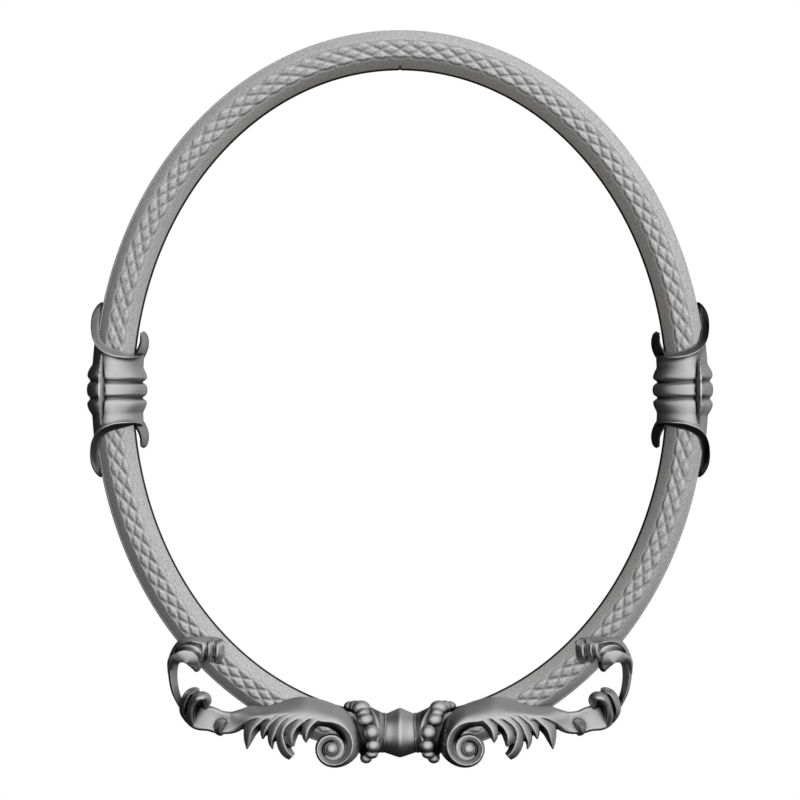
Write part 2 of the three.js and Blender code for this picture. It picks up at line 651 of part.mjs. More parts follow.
const drilledStrap = cutBy(solid(strap(hangerCentre, hangerPin)), holes);
addPair("hanger_strap", FINISH.steel, geometryOf(drilledStrap));
addPair("hanger_ring", FINISH.steel, hangerRing(hangerCentre, hangerPin));
for (const name of [...Object.keys(castingScrews), ...Object.keys(backScrews)]) {
  addPair(name, FINISH.steel, geometryOf(screws[name]));
}
for (const [level, degrees] of Object.entries(BUMPER_ANGLES)) {
  addPair(`bumper_${level}`, FINISH.rubber, bumper(radians(degrees)));
}

export default group;
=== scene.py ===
"""Looks of the oval wall mirror: carved moulding, cast collars, acanthus scrolls and tendrils.

Shapes are written in millimetres, in the part's own frame: +X to the viewer's right, +Z up, the wall at
y = 0 and the front facing -Y. Ornaments are drawn for the right half and mirrored for the left.
"""
import json
import math

import bpy
import numpy as np
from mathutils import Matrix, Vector


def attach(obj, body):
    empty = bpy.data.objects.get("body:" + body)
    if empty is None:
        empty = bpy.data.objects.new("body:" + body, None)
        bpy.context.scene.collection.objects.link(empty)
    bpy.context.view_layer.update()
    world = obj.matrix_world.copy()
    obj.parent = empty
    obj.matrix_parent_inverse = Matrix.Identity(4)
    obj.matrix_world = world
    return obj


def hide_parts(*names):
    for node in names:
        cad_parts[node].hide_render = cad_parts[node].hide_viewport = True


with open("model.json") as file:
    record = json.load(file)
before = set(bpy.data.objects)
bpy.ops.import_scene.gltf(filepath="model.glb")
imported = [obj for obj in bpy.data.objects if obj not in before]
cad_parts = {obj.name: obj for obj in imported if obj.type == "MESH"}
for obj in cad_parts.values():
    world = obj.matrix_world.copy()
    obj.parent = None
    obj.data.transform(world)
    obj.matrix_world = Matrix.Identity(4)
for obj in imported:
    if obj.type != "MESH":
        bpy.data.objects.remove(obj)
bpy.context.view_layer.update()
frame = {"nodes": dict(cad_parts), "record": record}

MM = 0.001
QUARTER = math.pi / 2
SIDES = ("right", "left")

# Moulding: half sizes of its middle line, half its width, its straight sides and the crown over them
HALF_WIDTH, HALF_HEIGHT = 286.0, 342.0
HALF_MOULDING = 20.249
SIDE, CROWN = 14.0, 14.0
WALL_GAP = 6.0
SEAT_GAP = 0.3
REBATE_WIDTH, REBATE_DEPTH = 8.0, 7.9


# Curves

def points_at(x, z, depth):
    """Points by place across and up, and by depth before the back of the moulding."""
    x, z, depth = np.broadcast_arrays(x, z, depth)
    return np.stack([x, -WALL_GAP - depth, z], axis=-1)


def oval(angle, out, depth):
    """Points by angle from the crown, distance out from the moulding's middle and depth before its back."""
    across, up = np.sin(angle) / HALF_WIDTH, np.cos(angle) / HALF_HEIGHT
    size = np.hypot(across, up)
    x = HALF_WIDTH * np.sin(angle) + across / size * out
    z = HALF_HEIGHT * np.cos(angle) + up / size * out
    return points_at(x, z, depth)


# Length along the middle line by angle, both measured from the crown
ARC_POINTS = 40001
ARC_ANGLES = np.linspace(-math.pi, 3 * math.pi, ARC_POINTS)
ARC_SPEED = np.hypot(HALF_WIDTH * np.cos(ARC_ANGLES), HALF_HEIGHT * np.sin(ARC_ANGLES))
ARC = np.concatenate([[0], np.cumsum((ARC_SPEED[1:] + ARC_SPEED[:-1]) / 2 * np.diff(ARC_ANGLES))])
ARC -= np.interp(0, ARC_ANGLES, ARC)
PERIMETER = np.interp(2 * math.pi, ARC_ANGLES, ARC)


def arc_at(angle):
    return np.interp(angle, ARC_ANGLES, ARC)


def angle_at(arc):
    return np.interp(arc, ARC, ARC_ANGLES)


def smooth(stations, count):
    """A smooth run through rows of numbers, evenly spread over the rows."""
    rows = np.asarray(stations, float)
    ends = np.vstack([2 * rows[0] - rows[1], rows, 2 * rows[-1] - rows[-2]])
    place = np.linspace(0, len(rows) - 1, count)
    index = np.minimum(place.astype(int), len(rows) - 2)
    t = (place - index)[:, None]
    a, b, c, d = (ends[index + k] for k in range(4))
    bend = (2 * a - 5 * b + 4 * c - d) * t**2 + (3 * b - a - 3 * c + d) * t**3
    return b + 0.5 * ((c - a) * t + bend)


def ease(value):
    """Goes softly from 0 to 1 while the value does."""
    value = np.clip(value, 0, 1)
    return value * value * (3 - 2 * value)


def rising(value, start, run):
    """Goes softly from 0 at the start to 1 at the end of the run."""
    return ease((value - start) / run)


def changing(value, first, last, start, run):
    """Goes softly from the first number at the start to the last one at the end of the run."""
    return first + (last - first) * rising(value, start, run)


def curved_fall(distance, slope, curl):
    return distance * slope + distance**2 * curl


# Meshes

def loft(rows):
    """Vertices and faces of a closed solid over rows of closed outlines, with its faces turned outward."""
    count, columns, _ = rows.shape
    vertices = rows.reshape(-1, 3)
    here = np.arange(count - 1)[:, None] * columns
    column = np.arange(columns)
    after, beside = here + columns, (column + 1) % columns
    corners = [here + column, here + beside, after + beside, after + column]
    quads = np.stack([c.reshape(-1) for c in corners], axis=1)
    a, b, c, d = (vertices[quads[:, k]] for k in range(4))
    volume = np.einsum("ij,ij->", a, np.cross(b, c) + np.cross(c, d))
    last = (count - 1) * columns
    faces = [tuple(q) for q in quads.tolist()]
    faces.append(tuple(range(columns))[::-1])
    faces.append(tuple(range(last, last + columns)))
    if volume < 0:
        faces = [f[::-1] for f in faces]
    return vertices, faces


def combined(parts):
    """One list of vertices and faces out of several."""
    vertices, faces, start = [], [], 0
    for points, quads in parts:
        vertices.append(points)
        faces += [tuple(i + start for i in f) for f in quads]
        start += len(points)
    return np.vstack(vertices), faces


def moved(part, across, up):
    vertices, faces = part
    return vertices + [across, 0, up], faces


LEFT_TO_RIGHT, UPSIDE_DOWN = (-1, 1, 1), (1, 1, -1)


def flipped(part, signs):
    """The mirror image of a part, with its faces still turned outward."""
    vertices, faces = part
    return vertices * signs, [f[::-1] for f in faces]


def on_side(part, side):
    """A part as drawn, for the right half, or its mirror image for the left."""
    return part if side == "right" else flipped(part, LEFT_TO_RIGHT)


def mesh_of(name, part):
    vertices, faces = part
    mesh = bpy.data.meshes.new(name)
    mesh.from_pydata((vertices * MM).tolist(), [], faces)
    return mesh


def linked(name, data):
    """A new object in the scene."""
    made = bpy.data.objects.new(name, data)
    bpy.context.scene.collection.objects.link(made)
    return made


def make(name, part, material, solid, smooth_angle=40):
    """A piece that stands for a solid of the part, from vertices in millimetres and faces."""
    mesh = mesh_of(name, part)
    mesh.validate()
    mesh.update()
    piece = linked(name, mesh)
    mesh.shade_smooth()
    mesh.set_sharp_from_angle(angle=math.radians(smooth_angle))
    mesh.materials.append(material)
    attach(piece, "frame")
    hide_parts(solid)
    return piece


def read(items, key, width, kind=float):
    """Numbers of a mesh's points or edges, in rows."""
    values = np.empty(len(items) * width, kind)
    items.foreach_get(key, values)
    return values.reshape(-1, width)


def points_of(mesh):
    return read(mesh.vertices, "co", 3) / MM


# Castings are fused out of overlapping solids: size of the grid, and rounds of smoothing after it
FUSE_GRID, FUSE_ROUNDS = 0.6, 2


def fused(parts):
    """The outer skin of overlapping solids as one closed mesh, smoothed a little."""
    mesh = mesh_of("fused", combined(parts))
    holder = linked("fused", mesh)
    remesh = holder.modifiers.new("skin", "REMESH")
    remesh.mode = "VOXEL"
    remesh.voxel_size = FUSE_GRID * MM
    relax = holder.modifiers.new("relax", "SMOOTH")
    relax.factor = 0.5
    relax.iterations = FUSE_ROUNDS
    graph = bpy.context.evaluated_depsgraph_get()
    done = bpy.data.meshes.new_from_object(holder.evaluated_get(graph))
    points = points_of(done)
    faces = [tuple(p.vertices) for p in done.polygons]
    bpy.data.objects.remove(holder)
    bpy.data.meshes.remove(mesh)
    bpy.data.meshes.remove(done)
    return points, faces


def store_shelter(mesh, rise):
    """How hollow or crested each point is, less any painted shade, for colour ramps that darken hollows and
    lighten crests: 0 hollow, 0.5 flat, 1 crest.
    """
    shelter = mesh.attributes.new("shelter", "FLOAT", "POINT")
    shelter.data.foreach_set("value", (0.5 + np.clip(rise, -0.5, 0.5)).astype(np.float32))


def sheltered(piece, rounds, shade_and_patina=0.0):
    """Finds hollows and crests by comparing each point with its surroundings, averaged in rounds.

    The last argument is painted shade: it makes points darker than their form alone does.
    """
    mesh = piece.data
    count = len(mesh.vertices)
    points = points_of(mesh)
    normals = read(mesh.vertices, "normal", 3)
    first, second = read(mesh.edges, "vertices", 2, int).T
    degree = np.bincount(first, minlength=count) + np.bincount(second, minlength=count)
    degree = np.maximum(degree, 1)[:, None]

    def spread(values):
        total = np.zeros_like(values)
        for k in range(values.shape[1]):
            total[:, k] += np.bincount(first, values[second, k], count)
            total[:, k] += np.bincount(second, values[first, k], count)
        return total / degree

    middle = points
    for _ in range(rounds):
        middle = 0.5 * middle + 0.5 * spread(middle)
    rise = np.einsum("ij,ij->i", points - middle, normals)[:, None]
    store_shelter(mesh, spread(rise)[:, 0] - shade_and_patina)


# Materials

def fill(tree, socket, value):
    """Links a socket, or sets it to a plain value."""
    if isinstance(value, bpy.types.NodeSocket):
        tree.links.new(value, socket)
    else:
        socket.default_value = (*value, 1) if socket.type == "RGBA" else value


def feed(tree, made, **inputs):
    """Fills the sockets of a shader node; an underscore in a name stands for a space."""
    for key, value in inputs.items():
        fill(tree, made.inputs[key.replace("_", " ")], value)


def node(tree, kind, **inputs):
    made = tree.nodes.new("ShaderNode" + kind)
    feed(tree, made, **inputs)
    return made


def nodes_of(name):
    material = bpy.data.materials.new(name)
    material.use_nodes = True
    tree = material.node_tree
    return material, tree, tree.nodes["Principled BSDF"]


def ramp(tree, source, stops):
    """A colour ramp over [place, grey or colour] stops."""
    made = node(tree, "ValToRGB", Fac=source)
    elements = made.color_ramp.elements
    while len(elements) < len(stops):
        elements.new(0.5)
    for element, (place, colour) in zip(elements, stops):
        element.position = place
        element.color = (*colour, 1) if isinstance(colour, tuple) else (colour, colour, colour, 1)
    return made.outputs["Color"]


# Most of a noise lies between these values
NOISE_LOW, NOISE_HIGH = 0.3, 0.7


def between(tree, noise, low, high):
    """Two greys or colours, mixed by a noise."""
    return ramp(tree, noise, [(NOISE_LOW, low), (NOISE_HIGH, high)])


def mixed(tree, blend, factor, first, second):
    made = node(tree, "Mix")
    made.data_type = "RGBA"
    made.blend_type = blend
    for index, value in ((0, factor), (6, first), (7, second)):
        fill(tree, made.inputs[index], value)
    return made.outputs[2]


def multiplied(tree, first, second):
    return mixed(tree, "MULTIPLY", 1.0, first, second)


def object_noise(tree, scale, detail, stretch=(1, 1, 1)):
    place = node(tree, "TexCoord").outputs["Object"]
    sized = node(tree, "Mapping", Vector=place, Scale=stretch).outputs["Vector"]
    return node(tree, "TexNoise", Vector=sized, Scale=scale, Detail=detail).outputs["Fac"]


def shelter_of(tree):
    made = node(tree, "Attribute")
    made.attribute_name = "shelter"
    return made.outputs["Fac"]


def bumped(tree, shader, height, strength, distance):
    bump = node(tree, "Bump", Height=height, Strength=strength, Distance=distance)
    feed(tree, shader, Normal=bump.outputs["Normal"])


def occlusion(tree, distance, stops):
    """Painted shade in corners and creases, by how much of the surroundings a point sees."""
    corner = node(tree, "AmbientOcclusion", Distance=distance)
    corner.samples = 8
    return ramp(tree, corner.outputs["AO"], stops)


def stone_paint(name, light, dark, wash_and_shade):
    """Grey paint with a fine sandy grain; hollows of the carving are darker and crests lighter, a wash that
    is also painted shade and painted highlight.
    """
    material, tree, shader = nodes_of(name)
    grain = object_noise(tree, scale=620.0, detail=3.0)
    cloud = object_noise(tree, scale=25.0, detail=4.0)
    base = between(tree, grain, dark, light)
    base = multiplied(tree, base, between(tree, cloud, 0.94, 1.0))
    # Wash and painted shade in hollows, painted highlight on crests
    base = multiplied(tree, base, ramp(tree, shelter_of(tree), wash_and_shade))
    # Painted shade: occlusion darkens corners and creases
    base = multiplied(tree, base, occlusion(tree, distance=0.005, stops=[(0.15, 0.7), (0.85, 1.0)]))
    feed(tree, shader, Base_Color=base, Roughness=0.62, Specular_IOR_Level=0.08)
    bumped(tree, shader, grain, strength=0.6, distance=0.0003)
    return material


def cast_metal(name, shade_and_patina):
    """Satin pewter-grey casting: a patina, nearly black in the hollows and bright on rubbed crests, that is
    also painted shade and painted highlight.
    """
    material, tree, shader = nodes_of(name)
    grain = object_noise(tree, scale=700.0, detail=2.0)
    cloud = object_noise(tree, scale=60.0, detail=5.0)
    # Patina that is also painted shade in hollows and painted highlight on crests
    base = ramp(tree, shelter_of(tree), shade_and_patina)
    base = multiplied(tree, base, between(tree, cloud, 0.92, 1.0))
    # Painted shade: occlusion turns corners nearly black
    base = multiplied(tree, base, occlusion(tree, distance=0.014, stops=[(0.4, 0.02), (0.9, 1.0)]))
    rough = between(tree, grain, 0.33, 0.39)
    feed(tree, shader, Base_Color=base, Roughness=rough, Metallic=0.97, Specular_IOR_Level=0.2)
    bumped(tree, shader, grain, strength=0.08, distance=0.0002)
    return material


def plated(name, light, dark):
    """Zinc plate with faint rolling marks."""
    material, tree, shader = nodes_of(name)
    marks = object_noise(tree, scale=350.0, detail=3.0, stretch=(1, 1, 0.1))
    base, rough = between(tree, marks, dark, light), between(tree, marks, 0.3, 0.42)
    feed(tree, shader, Base_Color=base, Roughness=rough, Metallic=0.6)
    return material


def raw_board(name, light, dark, stretch, scale):
    """Bare wood or pressed fibre: streaks of two browns with a little relief."""
    material, tree, shader = nodes_of(name)
    fibre = object_noise(tree, scale, detail=8.0, stretch=stretch)
    feed(tree, shader, Base_Color=between(tree, fibre, dark, light), Roughness=0.8)
    bumped(tree, shader, fibre, strength=0.25, distance=0.0004)
    return material


def black_rubber(name):
    material, tree, shader = nodes_of(name)
    dust = object_noise(tree, scale=400.0, detail=3.0)
    feed(tree, shader, Base_Color=ramp(tree, dust, [(0.3, 0.02), (0.8, 0.045)]), Roughness=0.75)
    bumped(tree, shader, dust, strength=0.2, distance=0.0002)
    return material


def silvered_glass(name):
    material, tree, shader = nodes_of(name)
    haze = between(tree, object_noise(tree, scale=12.0, detail=2.0), 0.0, 0.012)
    feed(tree, shader, Base_Color=(0.998, 1.0, 0.999), Metallic=1.0, Roughness=haze)
    return material


# The ramps darken hollows and lighten crests: partly wash and patina, partly painted shade and painted
# highlight
PAINT = stone_paint("light_grey_paint", 0.7, 0.42, [(0.0, 0.04), (0.25, 0.74), (0.5, 0.85), (0.62, 1.0)])
CASTING = cast_metal("grey_casting", [(0.1, 0.04), (0.4, 0.42), (0.5, 0.62), (0.6, 0.74), (0.85, 0.9)])
SILVER = silvered_glass("silvered_glass")
ZINC = plated("zinc_plate", (0.62, 0.63, 0.65), (0.45, 0.46, 0.48))
HARDBOARD = raw_board("hardboard", (0.25, 0.14, 0.065), (0.15, 0.08, 0.035), (1, 1, 1), 220.0)
BARE_WOOD = raw_board("bare_wood", (0.42, 0.30, 0.18), (0.28, 0.18, 0.10), (1, 1, 0.12), 60.0)
BEECH = raw_board("pressed_beech", (0.55, 0.36, 0.19), (0.42, 0.26, 0.13), (1, 1, 0.3), 150.0)
RUBBER = black_rubber("black_rubber")


# Moulding: a flat band between two rounded flanks, each with a slope and its growth
BAND_OUTER, BAND_INNER = 10.6, -5.8
BAND_DEPTH = 26.9
FLANK = {"outer": (0.75, 0.032), "inner": (0.68, 0.02)}
# Carved braid: diamonds in the middle row, scallops along both edges
BRAID_REPEATS = 104
BRAID_MIDDLE = 0.9
BRAID_HALF_DIAMOND = 5.35
BRAID_BULGE = {"outer": 3.6, "inner": 2.9}
BRAID_HEIGHT = 2.0
GROOVE_HALF = 1.5
CROSSING_DIP = 0.35
# Pillows are lower beside the grooves: share of their height there, and how far away they are full
PILLOW_EDGE, PILLOW_REACH = 0.7, 3.6
SCALLOP_SOFT = 1.1
# The line round the scallops has a depth, a distance from them and a half width
SCALLOP_LINE = {"outer": 0.5, "inner": 0.55}
LINE_AWAY, LINE_HALF = 0.6, 0.8


def moulding_front(out):
    """Depth of the uncarved front."""
    outer = curved_fall(np.maximum(0, out - BAND_OUTER), *FLANK["outer"])
    inner = curved_fall(np.maximum(0, BAND_INNER - out), *FLANK["inner"])
    return BAND_DEPTH - outer - inner


def braid(arc, out):
    """Height of the carving: pillows between two families of slanting grooves."""
    period = PERIMETER / BRAID_REPEATS
    along = arc / period
    over = out - BRAID_MIDDLE
    diamond = 2 * BRAID_HALF_DIAMOND
    squareness = math.hypot(1 / period, 1 / diamond)
    lines = [along + over / diamond, along - over / diamond]
    near = [np.abs(line - np.round(line)) / squareness for line in lines]
    cut = [np.exp(-((gap / GROOVE_HALF) ** 2)) for gap in near]
    pillow = (1 - cut[0]) * (1 - cut[1]) - CROSSING_DIP * cut[0] * cut[1]
    crown = PILLOW_EDGE + (1 - PILLOW_EDGE) * ease(np.minimum(near[0], near[1]) / PILLOW_REACH)
    # The outer rows end in arcs that spring from the crossings.
    beyond = np.abs(over) - BRAID_HALF_DIAMOND
    swing = np.abs(along - np.round(along))
    bulge = np.where(over > 0, BRAID_BULGE["outer"], BRAID_BULGE["inner"])
    arch = bulge * np.sqrt(np.maximum(0, 1 - (2 * swing) ** 2))
    inside = np.where(beyond > 0, ease((arch - beyond) / SCALLOP_SOFT + 0.5), 1.0)
    outline = np.where(over > 0, SCALLOP_LINE["outer"], SCALLOP_LINE["inner"])
    line = outline * np.exp(-(((beyond - arch - LINE_AWAY) / LINE_HALF) ** 2)) * (beyond > -LINE_AWAY)
    return BRAID_HEIGHT * pillow * crown * inside - line


RISE_REACH = 1.7


def carving_rise(arc, out):
    """How far a point of the carving stands over its surroundings."""
    around = [(RISE_REACH, 0), (-RISE_REACH, 0), (0, RISE_REACH), (0, -RISE_REACH)]
    return braid(arc, out) - sum(braid(arc + along, out + over) for along, over in around) / len(around)


EDGE_ROUND, EDGE_STEPS = 1.6, 5
# The inner edge falls steeply to the glass: width and depth of its chamfer, and the painted shade that
# blackens it
SIGHT_WIDTH, SIGHT_DEPTH = 2.1, 5.6
SIGHT_SHADE = -2.0
# Steps along the moulding and across the carving, and columns of points on the flanks
ROW_STEP, COLUMN_STEP = 0.85, 0.45
OUTER_COLUMNS, INNER_COLUMNS = 11, 15
CARVED_FROM, CARVED_TO = BAND_OUTER + 0.4, BAND_INNER - 4
SEAM = 0.02
# How strongly the rise darkens hollows and lightens crests, as wash and as painted shade and highlight
WASH_AND_SHADE_GAIN = 0.32
# A chip where the upper quarters meet, on the inner edge; its colour is darkened nearly to black
CHIP_HALF, CHIP_START, CHIP_RUN = 1.3, -14, 3
CHIP_DARKENING, CHIP_DEPTH = 3.0, 0.6
# The moulding narrows inside the foot collar: share of its width, and how far from the joint
WAIST, WAIST_REACH, WAIST_RUN = 0.12, 27.0, 5.0
# Faces turned this squarely to the wall are bare wood
BACK_FACING = 0.9


def moulding_rows(start, end):
    """Rows of the carved moulding between two angles, and how far their points stand out."""
    count = int((arc_at(end) - arc_at(start)) / ROW_STEP)
    arc = np.linspace(arc_at(start) + SEAM, arc_at(end) - SEAM, count)
    turn = np.linspace(0, QUARTER, EDGE_STEPS + 1)[1:]
    fall = np.linspace(0.1, 1, EDGE_STEPS)
    rim, sight = HALF_MOULDING - EDGE_ROUND, HALF_MOULDING - SIGHT_WIDTH
    top_outer, top_inner = moulding_front(rim), moulding_front(-sight)
    outer_side = [0, top_outer / 2, top_outer - EDGE_ROUND]
    sight_round = -(sight + SIGHT_WIDTH * fall)
    front = np.concatenate([
        np.linspace(rim - 0.5, BAND_OUTER + 1, OUTER_COLUMNS),
        np.arange(CARVED_FROM, CARVED_TO, -COLUMN_STEP),
        np.linspace(CARVED_TO - 0.4, -sight, INNER_COLUMNS),
    ])
    out = np.concatenate([
        [HALF_MOULDING] * len(outer_side), rim + EDGE_ROUND * np.cos(turn), front, sight_round,
        [-HALF_MOULDING], [REBATE_WIDTH - HALF_MOULDING] * 2,
    ])
    depth = np.concatenate([
        outer_side, top_outer + EDGE_ROUND * (np.sin(turn) - 1), moulding_front(front),
        top_inner - SIGHT_DEPTH * fall, [REBATE_DEPTH], [REBATE_DEPTH, 0],
    ])
    before = len(outer_side) + EDGE_STEPS
    where = slice(before, before + len(front))
    carved = np.zeros((count, len(out)))
    carved[:, where] = braid(arc[:, None], front)
    rise = np.zeros_like(carved)
    rise[:, where] = carving_rise(arc[:, None], front)
    # Painted shade: the steep inner edge is coloured nearly black
    rise[:, out <= sight_round[0]] = SIGHT_SHADE
    chip = np.exp(-((arc[:, None] / CHIP_HALF) ** 2)) * np.clip((CHIP_START - out) / CHIP_RUN, 0, 1)
    # The chip's colour is darkened nearly to black
    rise -= CHIP_DARKENING * chip
    waist = 1 - WAIST * ease((WAIST_REACH - np.abs(arc - arc_at(math.pi))) / WAIST_RUN)
    narrowed = out * waist[:, None] + CHIP_DEPTH * chip
    return oval(angle_at(arc)[:, None], narrowed, depth + carved), WASH_AND_SHADE_GAIN * rise.reshape(-1)


def add_mouldings():
    for level, start in (("upper", 0.0), ("lower", QUARTER)):
        rows, rise = moulding_rows(start, start + QUARTER)
        part = loft(rows)
        for side in SIDES:
            name = f"moulding_{level}_{side}"
            piece = make(f"carved_{name}", on_side(part, side), PAINT, name)
            piece.data.materials.append(BARE_WOOD)
            for face in piece.data.polygons:
                if face.normal.y > BACK_FACING:
                    face.material_index = 1
            store_shelter(piece.data, rise)
            piece.visible_glossy = False


# Collars: turns go from the outer edge over the front to the inner edge, and on past both by an overrun
OVERRUN = 30
# Depth at which the collars' outer side ends
SKIRT_END = 1
PROFILE_POINTS, TURN_POINTS = 240, 30


def skin(angle, turn, height):
    """A point at a height over the moulding, by angle along it and by turn round it."""
    overrun = math.radians(OVERRUN)
    outer_fall = (SIDE - SKIRT_END) / overrun
    inner_fall = (SIDE - REBATE_DEPTH - SEAT_GAP) / overrun
    over = np.clip(turn, 0, math.pi)
    depth = SIDE + (CROWN + height) * np.sin(over)
    depth = depth + outer_fall * np.minimum(turn, 0) - inner_fall * np.maximum(turn - math.pi, 0)
    return oval(angle, (HALF_MOULDING + height) * np.cos(over), depth)


def rounded(values, turn):
    """Blends the outer, front and inner values of a collar round the moulding."""
    outer, front, inner = values
    share = np.cos(np.clip(turn, 0, math.pi)) ** 2
    return front + (np.where(turn < QUARTER, outer, inner) - front) * share


def profile(table, distance):
    """Smooth turned profile through [distance, outer, front, inner] rows."""
    rows = smooth(table, PROFILE_POINTS)
    return [np.interp(distance, rows[:, 0], rows[:, k]) for k in (1, 2, 3)]


def by_turn(table, turn):
    """Values from [degrees, value] rows."""
    rows = smooth(table, TURN_POINTS * len(table))
    return np.interp(np.degrees(turn), rows[:, 0], rows[:, 1])


# neck: where the lip starts; bend: how much longer the body is at its sides; bed: how deep it lies in the
# moulding; lean: how far it leans outward; rim: how far the lip reaches along the moulding; rim_height: how
# far it stands out; lip_power: how late it flares; rim_fall: how the rim's face falls inward; dish: how far
# its inner edge lies beyond the outer one; inner_height, inner_turn: where that edge is
SIDE_COLLAR = {
    "turn_step": 1.25, "body_step": 0.55, "lip_steps": 30,
    "profile": [
        [0, 7.1, 9.8, 13.4], [4.2, 6.5, 9.6, 12.6], [6.2, 5.2, 8.7, 11.0], [7.6, 4.0, 7.4, 8.9],
        [8.8, 3.9, 7.3, 8.7], [10.2, 5.0, 8.3, 10.2], [12.6, 6.6, 9.0, 12.4], [16, 6.4, 9.0, 12.2],
        [20, 4.8, 8.5, 10.6], [25, 2.2, 7.8, 8.4], [34, 1.2, 7.2, 7.8],
    ],
    "neck": 25.0, "strap": True, "bend": 0.0, "bed": -1.5,
    "rim": [
        [-30, 63], [-15, 76.5], [-6, 83], [0, 82], [4, 79], [9, 73.5], [14, 67.8], [20, 61.5], [27, 55],
        [37, 47.5], [47, 42], [60, 37.6], [75, 34.8], [90, 33.2], [110, 33.2], [130, 34], [145, 35.2],
        [155, 36.4], [165, 37.6], [180, 38], [210, 36],
    ],
    "rim_height": [
        [-30, 3], [-15, 3], [-6, 2.4], [0, 3.6], [4, 5.8], [9, 8.2], [14, 9.5], [20, 10], [27, 10.3],
        [37, 10.6], [47, 10.4], [60, 10], [75, 9.7], [90, 9.6], [110, 9.6], [130, 9.4], [150, 8.8],
        [165, 8], [180, 7.4], [210, 6],
    ],
    "lip_power": 4.2, "lean": 3.6,
    "rim_fall": [[0, 0], [0.12, 0], [1, 1]],
    "dish": [
        [-30, 0.3], [-6, 0.5], [4, 1.5], [14, 4], [27, 6], [45, 7], [60, 7.2], [80, 7], [100, 6.4],
        [120, 4.6], [140, 2.2], [160, 0.7], [210, 0.4],
    ],
    "inner_height": [
        [-30, 0.6], [0, 0.6], [27, 0.8], [60, 1.2], [90, 1.6], [120, 3.4], [140, 4.6], [165, 3.6],
        [180, 3], [210, 2],
    ],
    "inner_turn": [[-30, 3], [0, 7], [14, 13], [27, 13], [45, 9], [60, 6], [80, 2], [100, 0], [210, 0]],
}
FOOT_COLLAR = {
    "turn_step": 2.0, "body_step": 0.5, "lip_steps": 14,
    "profile": [
        [0, 2.8, 5.7, 6.2], [0.9, 2.72, 5.6, 6.1], [2.2, 2.35, 5.2, 5.7], [8, 0.2, 3.2, 2.9],
        [13, -1.5, 2.1, 0.5], [14, -1.7, 2.0, 0.2], [14.6, -1.1, 2.7, 0.8], [15.3, -1.1, 2.7, 0.8],
        [16, -1.8, 2.0, 0.1], [18, -1.7, 2.1, 0.2],
    ],
    "neck": 16.6, "strap": False, "bend": 0.1, "bed": -4.0,
    "rim": [
        [-30, 36], [0, 33], [30, 27.5], [60, 22.5], [90, 20.8], [120, 24], [150, 33], [180, 42], [210, 43],
    ],
    "rim_height": [[-30, 4], [0, 5], [60, 6.2], [90, 6.5], [150, 7.4], [180, 8], [210, 6]],
    "lip_power": 1.05, "lean": 0.0,
    "rim_fall": [[0, 0], [0.06, 0.03], [0.3, 0.32], [0.55, 0.55], [0.8, 0.82], [1, 1]],
    "dish": [[-30, 3], [0, 6], [30, 14], [60, 23], [90, 27], [120, 26], [150, 18], [180, 10], [210, 4]],
    "inner_height": [[-30, -0.6], [30, 0.6], [90, 1.2], [150, 0.8], [210, -0.6]],
    "inner_turn": [[-30, 0], [210, 0]],
}
# The crest's turn at its ends and how much further round it lies in the middle
CREST_TURN, CREST_BEND = 57.7, 9.4
CREST_RISE, CREST_SINK = 8.2, 0.4
CREST_FLAT = 3.0
STRAP_TURN, STRAP_REACH = 5.6, 38.0
STRAP_LEVEL, STRAP_SWELL, SWELL_REACH = 7.0, 2.2, 20
STRAP_SOFT, STRAP_FADE = 0.14, 4
# The shoulder sinks behind the crest: depth, and the turns over which it comes up again and goes down
SHOULDER_SINK, SINK_REACH, SINK_EDGE = 3.2, 13, 1.2


def shoulder_strap(turn, distance, body):
    """A lens-shaped facet rises to a crest over the outer shoulder; beyond it the profile is sunk."""
    degrees = np.degrees(turn)
    taper = np.maximum(0, 1 - (distance / STRAP_REACH) ** 2)
    crest = CREST_TURN + CREST_BEND * taper
    share = (degrees - crest) / np.maximum(1e-3, STRAP_TURN * taper)
    rise = CREST_RISE - (CREST_RISE + CREST_SINK) * np.maximum(0, share)
    level = STRAP_LEVEL + STRAP_SWELL * np.exp(-((distance / SWELL_REACH) ** 2)) + taper * rise
    crest_end = -CREST_FLAT / STRAP_TURN
    cover = np.where((share > crest_end) & (share < 1), ease((1 - share) / STRAP_SOFT), 0)
    body = body + (level - body) * cover * np.minimum(1, STRAP_FADE * taper)
    behind = np.maximum(0, crest - CREST_FLAT * taper - degrees)
    return body - SHOULDER_SINK * taper * np.exp(-behind / SINK_REACH) * (1 - np.exp(-behind / SINK_EDGE))


# Steps over the face of a rim, and how far its bed lies inside its inner edge
DISH_STEPS = (0.06, 0.12, 0.2, 0.35, 0.5, 0.65, 0.8, 0.9, 0.96, 1.0)
BED_TUCK = 2.0


